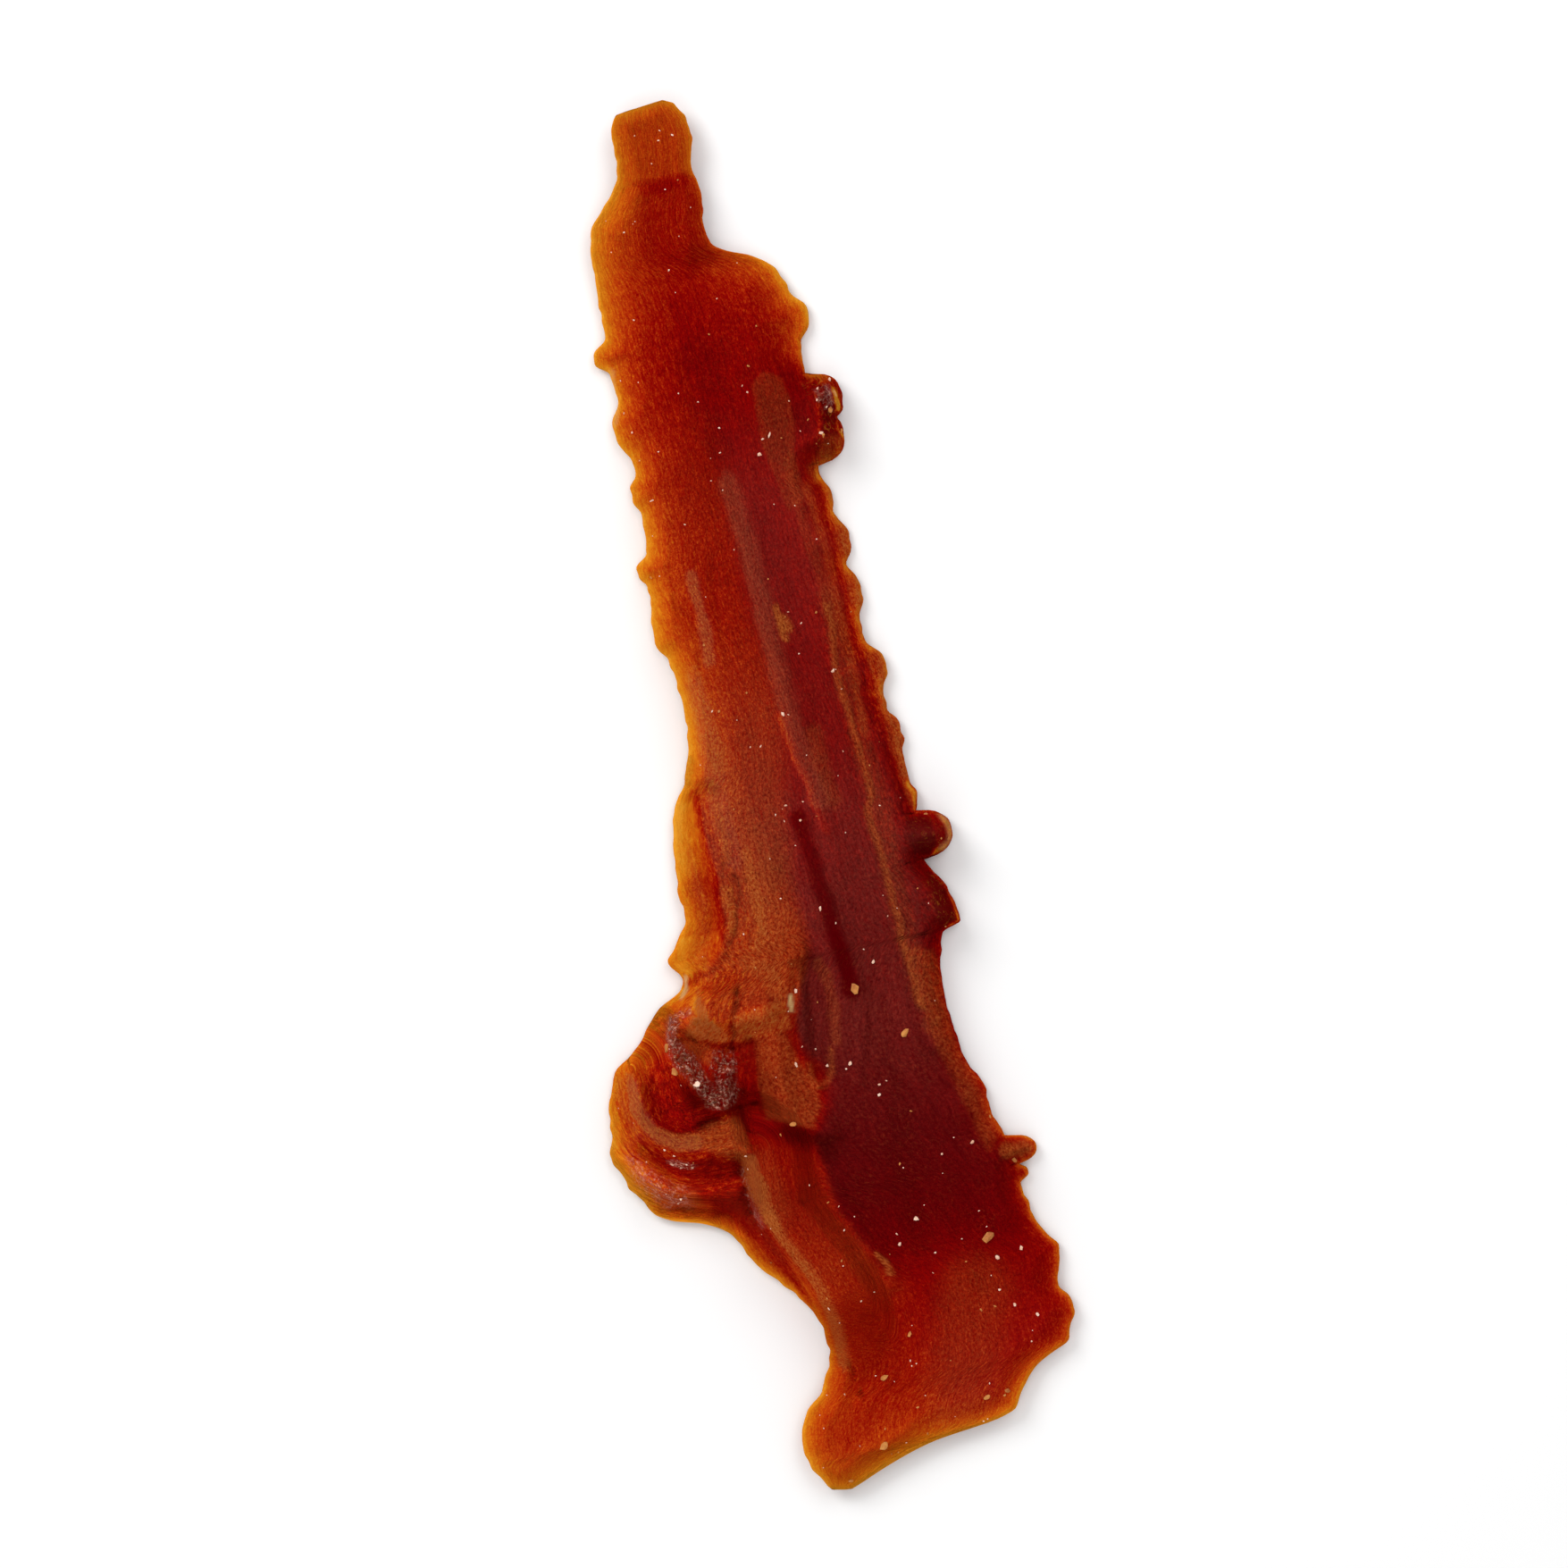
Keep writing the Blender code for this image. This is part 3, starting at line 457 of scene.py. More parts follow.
BLOOM_AREAS = {
    "upper patch": (0.12, 0.2, ((9, 40.2), (10.4, 41.2), (12, 40.2), (12.2, 36), (11.7, 33), (12, 28),
        (9.8, 27), (9.2, 31), (8.6, 35.6))),
    "lower knot rim": (0.3, 0.5, ((15, 33.2), (16.4, 33.6), (16.6, 32.6), (14.6, 31.4), (13.2, 29.6),
        (12.8, 31), (14.2, 32.4))),
    "left of the shelf": (0.75, 0.3, ((-9, -17.8), (-8.5, -19.6), (-8.2, -20.9), (-7.4, -22), (-7, -23.3),
        (-8.2, -23.4), (-10.2, -22.6), (-10.9, -22), (-10.3, -21), (-9.6, -20), (-9.4, -19))),
    "right of the shelf": (0.42, 0.25, ((-5.8, -20.8), (-4.4, -21.2), (-2.4, -20.6), (-0.8, -20.6),
        (-0.6, -23.4), (-2, -23.9), (-4.2, -23.8), (-5.8, -23.6), (-6.7, -23.4), (-6.3, -22.2))),
    "column": (0.3, 0.3, ((-4.4, -23.9), (-1.4, -23.9), (-0.8, -26.4), (0.4, -29), (0.8, -31.6),
        (-0.4, -33.6), (-1.8, -33.2), (-3, -32.2), (-4.8, -31.6), (-5, -28.7))),
    "between crust and tongue": (0.35, 0.3, ((-11.4, -22.4), (-9.4, -23.2), (-8.4, -24.2), (-9.2, -25.6),
        (-10.2, -24.9), (-11, -23.6))),
    "lobe roll": (0.62, 0.2, ((-17.9, -24.4), (-17.1, -24.8), (-16.7, -26.9), (-16.8, -28.6), (-16, -30),
        (-14.4, -31), (-12, -31.8), (-12, -33.1), (-14.3, -33), (-15.8, -31.9), (-17, -30.4), (-17.9, -28.4),
        (-18, -26))),
    "right end of the roll": (0.42, 0.35, ((-12.2, -31.6), (-10, -31), (-8, -31), (-7.3, -32.3),
        (-7.2, -34.2), (-8.3, -35.3), (-10, -34.1), (-12.2, -32.9))),
    "lower lobe": (0.25, 0.5, ((-16, -36.2), (-14, -36.6), (-13, -37.8), (-12.9, -39.2), (-14.4, -39.4),
        (-16.2, -38.2))),
    "crest of the roll": (0.68, 0.2, ((-8.1, -34.8), (-6.9, -34.8), (-6.3, -37.8), (-6, -40.4), (-5.8, -43),
        (-6.6, -42.4), (-7.6, -40.6), (-8.3, -38.6), (-8.3, -36.6))),
    "right of the crest": (0.14, 0.8, ((-6.9, -34.4), (-5.2, -34.8), (-4.6, -38), (-4.6, -41), (-5.6, -43),
        (-6.4, -41), (-6.8, -38))),
    "right edge": (0.2, 0.5, RIGHT_BAND),
    "lobe rim": (0.3, 0.6, ((-18.9, -24.8), (-18.2, -25), (-18, -27.8), (-17.9, -30.2), (-18.7, -29.2),
        (-19.3, -26.8))),
}

# Where more of the haze lies, as painted lines
HAZES = {
    "centre": (0.13, 1.3, 0.7, CENTRE),
    "lobe roll": (0.35, 0.65, 0.65, ((-17.3, -25.8), (-17.2, -28), (-16.5, -29.9), (-15.3, -31.4),
        (-13.9, -32.2), (-12.3, -32.5))),
    "crest of the roll": (0.2, 0.8, 0.5, ((-7.6, -35.4), (-7.5, -38.6), (-6.9, -41.6))),
    "left plateau": (0.2, 0.6, 0.6, LEFT_CREST),
    "flap": (-0.12, 0.5, 1.2, FLAP),
    "dark wedge": (-0.12, 1, 0.9, DARK_WEDGE),
    "beside the flap": (0.15, 1, 1, ((-2.9, 12), (-2.8, 6), (-3, 0), (-2.6, -6))),
}

# Painted light: areas whose colour is made brighter, or below 0 darker, so that hollows and slopes that the
# lamps leave in shade look lit, as painted areas
PAINTED_LIGHT_AREAS = {
    "right rim": (-0.08, 0.3, ((14.2, 31), (16.6, 31), (16.8, -2), (15.5, -2), (15, 8), (14.4, 14),
        (14.2, 22))),
    "lighter patch at the end": (0.18, 0.6, ((-2.4, -59.2), (1.2, -59.2), (1, -61.8), (-2.2, -61.8))),
    "below the lobe": (0.35, 0.5, ((-16.5, -39.2), (-13, -38.9), (-10.6, -40.6), (-9.4, -43), (-11, -42.6),
        (-12.6, -41.2), (-16, -40.6))),
    "side of the flange": (0.15, 0.4, ((12.7, 28), (13.9, 28), (14, 10), (14.7, -3), (13.5, -3), (12.8, 8))),
    "basin": (0.45, 0.9, ((-15.2, -25), (-13.6, -23.6), (-13, -25.6), (-12.4, -27.6), (-12, -30),
        (-12.2, -31), (-14.4, -29.8), (-15.6, -28))),
    "crust and shelf": (0.5, 0.7, ((-13.6, -19.8), (-11.6, -20), (-9.8, -21), (-7.2, -21.8), (-6.8, -23.2),
        (-8.6, -24.4), (-10, -26), (-11.2, -27.4), (-12.8, -25.6), (-13.4, -22.8))),
    "pit": (0.15, 0.7, ((-9.8, -24.2), (-4.8, -24.4), (-5.2, -30.2), (-10.4, -30.4), (-10.4, -27))),
    "groove": (0.5, 0.5, ((-16.2, -33.4), (-14, -34.2), (-11.4, -34.8), (-9, -35.4), (-8.6, -37),
        (-12, -36.4), (-15, -35.6))),
    "lower rim of the lobe": (0.28, 0.8, ((-20.6, -32), (-17.6, -32.8), (-15.4, -36.4), (-9.4, -37.2),
        (-9.2, -40), (-12, -42), (-19, -40))),
}

# Glossy, crumpled meat on the crust and in the cavity, with a painted network of greyish highlights over a
# darker colour, as painted areas
GLOSS_AND_HIGHLIGHT_AREAS = {
    "crust wall": (0.95, 0.3, ((-12.2, -19.9), (-12.9, -21.7), (-13, -23.5), (-12.5, -25.1), (-11.4, -26.4),
        (-10.7, -28.3), (-10.4, -29.4), (-9.6, -29.7), (-9.3, -29.3), (-9.6, -27.8), (-10, -26.7),
        (-10.4, -25.1), (-11.1, -23.7), (-11.8, -22.6), (-11.9, -21.4), (-11.3, -20.6))),
    "tongue": (0.8, 0.35, ((-8.5, -24.4), (-7.1, -24.6), (-6.9, -25.8), (-7.5, -26.9), (-7.2, -28.7),
        (-7.9, -29.6), (-9, -29.9), (-9.8, -29.4), (-9.7, -28.5), (-9, -27.8), (-8.9, -26.7),
        (-9.3, -25.8))),
    "arc over the crust": (0.5, 0.2, ((-12.4, -19.8), (-11.2, -19.6), (-10.1, -19.6), (-10.1, -20.1),
        (-11.2, -20.2), (-12.2, -20.7))),
    "upper knot": (0.4, 0.25, ((14.9, 38.3), (16.2, 38.4), (16.5, 37.2), (16.2, 36.2), (15.4, 36.2),
        (14.9, 36.9))),
    "groove": (0.8, 0.2, ((-15.3, -33.9), (-13.4, -34.2), (-12.6, -34.8), (-13.2, -35.1), (-15, -34.6))),
    "outer lobe": (0.3, 0.6, ((-19.4, -32.8), (-18.6, -32.6), (-17, -34.8), (-15.4, -36.4), (-14.2, -37),
        (-14, -39), (-16.6, -38.6), (-18.8, -36))),
    "side of the roll": (0.35, 0.15, ((-8.5, -36), (-8.2, -36), (-8.1, -39.4), (-7.3, -42.4), (-7.6, -42.6),
        (-8.4, -39.6))),
}

# Where the skin is finely crinkled, beyond the little that it is everywhere, as painted areas
CRINKLE = 0.6
CRINKLE_AREAS = {
    "upper part": (0.4, 2, ((-8, 72), (10, 72), (18, 50), (18, -22), (-9, -20))),
    "lobe": (1.2, 1.2, ((-9, -15), (-13, -18.4), (-19.5, -24), (-21.6, -32), (-19.4, -38.6), (-12, -41),
        (-9, -38), (-8, -35), (-6, -31), (-6, -24), (-4, -18))),
    "flap": (0.8, 1, ((-6, 3), (-2.4, 2), (-1.6, -14), (-4, -18), (-7, -17), (-4.8, -8))),
    "upper knot": (1, 0.8, ((14.4, 40.4), (17.6, 39.6), (18.2, 33), (14.6, 31))),
    "sinew": (0.8, 0.8, ((10.8, 16), (15, 14), (15.6, -20), (15.2, -30), (11.6, -24), (10.8, 0))),
}

# Pale fat, and a painted highlight on the curled lip of the notch, as painted lines
PALE_FAT_AND_HIGHLIGHT = {
    "left rim": (0.22, 0.3, 0.3, ((-4.5, 44.6), (-4.8, 41.5), (-5.4, 39.4))),
    "crescent of the knot": (0.2, 0.35, 0.35, ((18.5, -5.9), (19.1, -7.2), (18.8, -8.4), (17.8, -9.1))),
    "sliver": (1, 0.25, 0.25, ((0, -20.3), (-0.2, -21.7))),
    "highlight on the lip of the notch": (0.7, 0.2, 0.2, ((-9.9, -16.4), (-10, -17.4), (-10.8, -18.4))),
}

# Colours are screen values from 0 to 255. Those of the tone are (tone, colour) and run from amber to maroon.
DEEPEST_TONE = 2.0
TONE_COLOURS = (
    (0.0, (226, 150, 40)), (0.1, (216, 129, 23)), (0.25, (202, 98, 15)), (0.4, (187, 68, 11)),
    (0.55, (172, 47, 8)), (0.7, (158, 28, 5)), (0.85, (146, 12, 3)), (1.0, (135, 4, 3)), (1.3, (116, 2, 4)),
    (1.6, (98, 1, 4)), (2.0, (80, 0, 4)),
)
BLOOM_DARK = (150, 62, 16)
BLOOM_LIGHT = (178, 94, 42)
HAZE_COLOUR = (150, 78, 66)
# The darker colour between the painted highlights on the glossy crumpled meat, and the painted highlights
BETWEEN_HIGHLIGHTS_COLOUR = (130, 52, 34)
PAINTED_HIGHLIGHT_COLOUR = (236, 184, 162)
# Pale fat, also the colour of the painted highlight on the lip of the notch
FAT_AND_HIGHLIGHT_COLOUR = (214, 176, 118)
CRUST_COLOUR = (112, 12, 4)
CRUST_GLINT = (204, 116, 34)

# Noises that follow the fibres, as (cells a millimetre across, cells along, detail, roughness, distortion)
FIBRE_NOISE = (1.5, 0.16, 5, 0.62, 0.35)
CRINKLE_NOISE = (3.6, 1.1, 3, 0.7, 0.7)
THREAD_NOISE = (4.2, 0.28, 3, 0.65, 0.5)
SPECKLE_NOISE = (5.5, 2.8, 3, 0.75, 0.4)

# Noises with no direction, as (cells a metre, detail, roughness, distortion), and between which values of a
# noise most of it lies
MOTTLE_NOISE = (420, 4, 0.6, 0)
DUST_NOISE = (7000, 1, 0.5, 0)
CRUMPLE_NOISE = (1700, 4, 0.65, 0.9)
GLINT_NOISE = (2900, 2, 0.6, 0.6)
CRUMB_NOISE = (1500, 2, 0.5, 0)
NOISE_SPREAD = (0.3, 0.7)

# Crumbs that stand out, as (across, along, size, how much longer than wide, its turn in degrees)
FLAKES = (
    (6.4, -20.9, 0.85, 1.4, 80), (14.3, -48, 0.95, 1.4, 30), (-0.2, -66.3, 0.9, 1.4, 20),
    (1.2, -59.5, 0.65, 1.5, 10), (4.6, -55.9, 0.45, 1.6, 60), (-2.4, -32.7, 0.5, 1.5, 0),
    (-13.1, -22.8, 0.7, 1.5, 70), (-12.8, -25.2, 0.95, 1.2, 60), (10.4, -26.3, 0.7, 1.5, 30),
    (18.4, -41, 0.6, 1.6, 120), (10.8, -63.7, 0.6, 1.5, 20), (13, -63.5, 0.5, 1.3, 0),
    (16.8, 37.5, 0.6, 2, 100), (16, 36, 0.5, 1.4, 70), (16.7, 33.9, 0.4, 1.4, 70),
    (12.6, -63.9, 0.35, 1.2, 0), (-4.2, -69.1, 0.35, 1.6, 0), (18.7, -6.3, 0.35, 1.5, 120),
    (19, -7.2, 0.4, 1.4, 80), (18.7, -8.2, 0.4, 1.6, 60), (17.9, -8.9, 0.35, 1.5, 20),
    (17, -5.4, 0.3, 1.3, 0), (17, -36.4, 0.3, 1.8, 100), (14.8, 33.6, 0.35, 1.6, 70),
)
SPECKS = (
    (7.6, -44.7, 0.55, 1.2, 0), (8.2, 33.2, 0.45, 1.3, 30), (8.8, 34.6, 0.28, 1.3, 0),
    (9.6, 34.9, 0.22, 4.5, 60), (-3.1, 30.9, 0.22, 5.5, 12), (10.9, 10.5, 0.38, 1.9, 20),
    (5.1, 7.3, 0.36, 1.5, 120), (4.6, -3.4, 0.26, 1.2, 0), (4.7, -12.4, 0.24, 2.4, 80),
    (8.8, -18.7, 0.36, 1.4, 40), (0.6, -19.9, 0.34, 1.6, 90), (1.3, -26.1, 0.3, 1.2, 0),
    (2.2, -27.9, 0.32, 1.5, 20), (4.4, -28.1, 0.38, 1.2, 60), (3.9, -28.6, 0.26, 1.2, 0),
    (-0.9, -27.1, 0.32, 1.9, 100), (-10.9, -26.9, 0.6, 1.4, 0), (6.8, -30.8, 0.28, 1.2, 0),
    (6.6, -31.8, 0.32, 1.2, 0), (11.5, -38.9, 0.28, 1.3, 0), (14.7, -38.3, 0.42, 1.4, 20),
    (14.8, -50.2, 0.42, 1.5, 140), (17.3, -49.7, 0.42, 1.3, 70), (5.5, -46.8, 0.34, 1.4, 60),
    (8.8, -48.5, 0.26, 1.4, 0), (14.3, -53.4, 0.3, 1.2, 0), (15.5, -55.2, 0.3, 1.5, 90),
    (17.5, -56.6, 0.34, 1.4, 120), (14.6, 33.9, 0.36, 1.4, 0), (8.3, 39.5, 0.26, 1, 0),
    (16.6, 39.1, 0.3, 1.8, 80), (-15.4, -32.6, 0.26, 1.2, 0), (-7.6, -34.8, 0.28, 1.3, 0),
    (15.2, 38.3, 0.26, 1.8, 60), (14.9, 37.2, 0.24, 1.7, 90), (15.7, 36.4, 0.22, 1.5, 40),
    (-15, -34.3, 0.32, 1.7, -20), (-14.2, -34.8, 0.3, 1.5, 10), (-13.6, -34.5, 0.24, 1.4, 50),
    (-13.1, -35, 0.24, 1.3, 0), (-14.9, -37.8, 0.3, 1.3, 70), (-15.3, -38.3, 0.2, 1.4, 0),
)

# The meshes of crumbs, as (name, placed crumbs, scattered ones, seed of their shapes, colour, darker colour).
# The scattered ones are given as (seed, count, sizes).
CRUMBS = (
    ("pale_crumbs", SPECKS, ((5, 120, (0.1, 0.18)), (6, 12, (0.17, 0.24))), 8, (244, 212, 190),
        (220, 164, 134)),
    ("tan_crumbs", FLAKES, ((7, 45, (0.13, 0.25)),), 9, (212, 142, 70), (166, 90, 36)),
)

# A crumb's corners as shares of its radius, its height in sizes, its tilt, and how far its middle stands up
CRUMB_CORNERS = (0.6, 1.25)
CRUMB_HEIGHT = (0.35, 0.6)
CRUMB_TILT = (-0.5, 0.5)
CRUMB_RISE = 0.12

# Scattered crumbs: how much longer than wide, the rim kept free of them, and their share at the tab's tip
STRETCH = (1.0, 2.0)
FREE_RIM = 0.8
SHARE_AT_TIP = 0.35

# The camera looks straight down on the strip, which leans in the frame
FRAME_WIDTH = 157.3
LENS = 120.0
SENSOR = 36.0
AIM = (3.63, 0.5)
AIM_HEIGHT = 1.0
ROLL = math.radians(-12.0)

# The lights, as (name, azimuth and elevation in degrees, distance and size in metres, watts)
LIGHTS = (("key", -50, 42, 0.8, 0.4, 3.0), ("top", 30, 50, 0.8, 0.5, 1.4), ("back", 200, 50, 0.8, 0.6, 0.8))
WORLD_STRENGTH = 0.58
FLOOR_SIZE = 4.0
FLOOR_COLOUR = (0.97, 0.97, 0.97, 1.0)


def through(keys, places):
    """The values at these places on a smooth curve through (place, value) keys, with no overshoot."""
    at, value = np.array(sorted(keys), dtype=float).T
    step = np.diff(at)
    slope = np.diff(value) / step
    tangent = np.zeros(len(at))
    tangent[0], tangent[-1] = slope[0], slope[-1]
    same_way = slope[:-1] * slope[1:] > 0
    harmonic = 2 * slope[:-1] * slope[1:] / np.where(same_way, slope[:-1] + slope[1:], 1)
    tangent[1:-1] = np.where(same_way, harmonic, 0)
    k = np.clip(np.searchsorted(at, places) - 1, 0, len(step) - 1)
    s = np.clip((places - at[k]) / step[k], 0, 1)
    rise = (3 - 2 * s) * s * s
    lean = step[k] * (s * (1 - s) ** 2 * tangent[k] - s * s * (1 - s) * tangent[k + 1])
    return value[k] * (1 - rise) + value[k + 1] * rise + lean


def smooth(low, high, x):
    """0 below low, 1 above high and an S between them. The two may be the other way round."""
    s = np.clip((x - low) / (high - low), 0, 1)
    return s * s * (3 - 2 * s)


def quarter_round(x, radius):
    """A quarter circle that starts upright at 0 and reaches 1 at the radius."""
    s = np.clip(x / radius, 0, 1)
    return np.sqrt(1 - (1 - s) ** 2)


def lobe(x, reach, half_span):
    """A blunt lobe: almost flat on top, and steep where it ends."""
    return reach * np.exp(-((x / half_span) ** 4))


def ball(x, reach, half_span):
    """A round lump, steep where it starts."""
    return reach * np.maximum(1 - np.abs(x / half_span) ** 2.4, 0) ** 0.4


def noise(u, v, seed):
    """Smooth noise from -1 to 1 whose cells are one unit wide."""
    table = np.random.default_rng(seed).random((CELLS, CELLS))
    column, row = np.floor(u).astype(int), np.floor(v).astype(int)
    s, t = smooth(0, 1, u - column), smooth(0, 1, v - row)
    before, after = column % CELLS, (column + 1) % CELLS
    low, high = (table[before, r % CELLS] * (1 - s) + table[after, r % CELLS] * s for r in (row, row + 1))
    return 2 * (low * (1 - t) + high * t) - 1


def rough(u, v, seed):
    """Noise with finer noise on it, still about -1 to 1."""
    return sum(noise(u * 2**k, v * 2**k, seed + k) / 2**k for k in range(OCTAVES)) / 1.5


def ridges(u, v, seed):
    """Sharp ridges where noise passes through 0."""
    return 1 - 2 * np.abs(noise(u, v, seed))


def rough_ridges(u, v, seed):
    """Sharp ridges with finer ones on them."""
    return 1 - 2 * np.abs(rough(u, v, seed))


# Fine relief, as (kind, height, size across the fibres or in x, size along them or in y, seed of the noise)
FIBRES = ((rough, 0.07, 0.7, 3, 21), (noise, 0.08, 1.9, 11, 25))
WRINKLES = ((noise, 0.09, 3.4, 4.2, 31), (rough, 0.1, 1, 1.4, 33))
CRUSTED = ((ridges, 0.42, 0.9, 0.9, 41), (noise, 0.22, 0.4, 0.4, 43))
CRUMPLED = ((rough_ridges, 0.2, 0.9, 2, 51),)
FIBRES_BELOW = ((rough, 0.05, 1.2, 9, 61),)
HOLLOW_BELOW = 0.05

# How the edges are frayed, and how far painted things wander in x and in y so that their edges are uneven
LEFT_FRAY = ((noise, 0.13, 0.8, 1, 11), (noise, 0.14, 2.1, 1, 13))
RIGHT_FRAY = ((noise, 0.13, 0.8, 1, 12), (noise, 0.14, 2.1, 1, 14))
WANDER_X = (rough, 0.24, 1.5, 1.9, 81)
WANDER_Y = (rough, 0.24, 1.5, 1.9, 85)


def relief(u, v, *kinds):
    """The sum of these kinds of relief, or of fraying or wandering."""
    return sum(height * kind(u / across, v / along, seed) for kind, height, across, along, seed in kinds)


def scallop_reach(y):
    """How far the scallops and knots stand out beyond the plain edges: on the left, and on the right."""
    left, right = (sum(lobe(y - at, *size) for at, *size in row) for row in (LEFT_SCALLOPS, RIGHT_SCALLOPS))
    knots = np.max([ball(y - at, *size) for at, *size in KNOTS], axis=0)
    return left + relief(y, 0 * y, *LEFT_FRAY), np.maximum(right, knots) + relief(y, 0 * y, *RIGHT_FRAY)


def edges(y):
    """The left and right edge at these places along the strip."""
    left_reach, right_reach = scallop_reach(y)
    return through(LEFT_EDGE, y) - left_reach, through(RIGHT_EDGE, y) + right_reach


def from_path(x, y, path):
    """Distance of each point from a path of straight pieces, which hand of the path it is on, and how far
    along the path the nearest point is."""
    nearest = np.full(len(x), np.inf)
    hand = np.ones(len(x))
    along = np.zeros(len(x))
    travelled = 0.0
    for (x0, y0), (x1, y1) in zip(path[:-1], path[1:]):
        dx, dy = x1 - x0, y1 - y0
        length = math.hypot(dx, dy)
        share = np.clip(((x - x0) * dx + (y - y0) * dy) / length**2, 0, 1)
        away_x = x - x0 - share * dx
        away_y = y - y0 - share * dy
        distance = np.hypot(away_x, away_y)
        closer = distance < nearest
        nearest = np.where(closer, distance, nearest)
        hand = np.where(closer, np.sign(dx * away_y - dy * away_x), hand)
        along = np.where(closer, travelled + share * length, along)
        travelled += length
    return nearest, hand, along


def depth_of(x, y):
    """How far in from the outline each point lies."""
    places = np.arange(END, TIP + EDGE_STEP / 2, EDGE_STEP)
    left, right = edges(places)
    outline = np.vstack((np.column_stack((left, places)), np.column_stack((right, places))[::-1]))
    return from_path(x, y, outline)[0]


def rounded(path):
    """The path with its corners turned into curves."""
    length = sum(math.dist(a, b) for a, b in zip(path[:-1], path[1:]))
    share = np.linspace(0, 1, len(path))
    fine = np.linspace(0, 1, max(2, round(length / FOLD_STEP)))
    return list(zip(*(through(list(zip(share, column)), fine) for column in zip(*path))))


def crest(x, y, height, left_width, right_width, path, power=2):
    """A crest along a path, with a flank of its own width on each hand. Power 4 gives a blunt one."""
    result = np.zeros(len(x))
    corners = np.array(path)
    reach = REACH_IN_WIDTHS ** (2 / power) * max(left_width, right_width)
    low, high = corners.min(axis=0) - reach, corners.max(axis=0) + reach
    near = (x > low[0]) & (x < high[0]) & (y > low[1]) & (y < high[1])
    distance, hand, _ = from_path(x[near], y[near], rounded(path))
    width = np.where(hand > 0, left_width, right_width)
    result[near] = height * np.exp(-((distance / width) ** power))
    return result


def crests(x, y, table, power=2):
    """The sum of the crests in a table."""
    return sum(crest(x, y, *values, power=power) for values in table.values())


def area(x, y, amount, softness, corners):
    """The amount inside a shape with these corners, and 0 outside it."""
    closed = list(corners) + [corners[0]]
    distance = from_path(x, y, closed)[0]
    inside = np.zeros(len(x), dtype=bool)
    for (x0, y0), (x1, y1) in zip(closed[:-1], closed[1:]):
        if y0 != y1:
            crosses = (y0 > y) != (y1 > y)
            inside ^= crosses & (x < x0 + (y - y0) * (x1 - x0) / (y1 - y0))
    return amount * smooth(-softness, softness, np.where(inside, distance, -distance))


def wander(x, y):
    """The places moved a little to and fro, so that what is painted at them gets uneven edges."""
    return x + relief(x, y, WANDER_X), y + relief(x, y, WANDER_Y)


def painted(x, y, lines, areas=None):
    """The sum of the painted lines and areas. The sides of the lines are steeper than those of crests."""
    x, y = wander(x, y)
    return crests(x, y, lines, 4) + sum(area(x, y, *values) for values in (areas or {}).values())


def blend(off_line, softness, y, keys, keys_beyond):
    """Values keyed along the strip, which change to others where a place lies beyond a line."""
    beyond = smooth(-softness, softness, off_line)
    return through(keys, y) * (1 - beyond) + through(keys_beyond, y) * beyond


def over_sides(x, y, left_keys, right_keys):
    """Values keyed along the strip for each side, changing from one to the other at its middle."""
    left, right = edges(y)
    return blend(x - (left + right) / 2, MARGIN_CHANGE, y, left_keys, right_keys)


def across_divide(x, y, left_keys, right_keys):
    """Values keyed along the strip for the meat on each side of the dividing line."""
    return blend(x - through(DIVIDE, y), through(DIVIDE_SOFTNESS, y), y, left_keys, right_keys)


def thickness(x, y, depth):
    """Thickness of the meat before its folds. Depth is how far in from the outline a point lies."""
    margin = over_sides(x, y, LEFT_MARGIN, RIGHT_MARGIN)
    climb = smooth(*MARGIN_CLIMB, depth / margin)
    rim = RIM_THICKNESS * quarter_round(depth, RIM_ROUND)
    return rim + (through(BODY_PROFILE, y) - RIM_THICKNESS) * climb


def underside(y, depth):
    """Height of the underside: flat in the middle, curled up a little at the rim and the ends."""
    waves = math.prod(np.sin(2 * math.pi * y / length) for length in RIM_WAVE_LENGTHS)
    rim = RIM_LIFT * (1 - RIM_WAVE + RIM_WAVE * waves) * (1 - smooth(0, RIM_LIFT_BAND, depth))
    return rim + TAB_LIFT * smooth(TAB_LIFT_FROM, TIP, y) + END_LIFT * smooth(END_LIFT_FROM, END, y)


def grain(x, y):
    """Where each point lies across and along the muscle fibres, which follow the strip and its two rolls."""
    left, right = through(LEFT_EDGE, y), through(RIGHT_EDGE, y)
    from_lobe, lobe_hand, lobe_along = from_path(x, y, rounded(FOLDS["lobe roll"][3]))
    from_roll, roll_hand, roll_along = from_path(x, y, rounded(FOLDS["central roll"][3]))
    in_lobe = smooth(*LOBE_GRAIN_REACH, from_lobe) * smooth(*LOBE_GRAIN_FROM, x)
    on_roll = smooth(*ROLL_GRAIN_REACH, from_roll) * (1 - in_lobe) * smooth(*ROLL_GRAIN_FROM, y)
    elsewhere = 1 - in_lobe - on_roll
    across = (x - (left + right) / 2) / (right - left) * GRAIN_WIDTH + GRAIN_LEAN * y
    across = across * elsewhere + from_lobe * lobe_hand * in_lobe + from_roll * roll_hand * on_roll
    return across, y * elsewhere + lobe_along * in_lobe - roll_along * on_roll


def fine_relief(x, y, depth, crust, wet):
    """The relief that is finer than the solid: fibres, wrinkles, crusts and crumpled wet meat."""
    across, along = grain(x, y)
    calm = 1 - CALM_UNDER_CRUST * np.clip(crust, 0, 1)
    plain = (relief(across, along, *FIBRES) + relief(x, y, *WRINKLES)) * calm
    lumps = crust * relief(x, y, *CRUSTED) + wet * relief(across, along, *CRUMPLED)
    return plain * quarter_round(depth, FIBRE_ROUND) + lumps * quarter_round(depth, CRUST_ROUND)


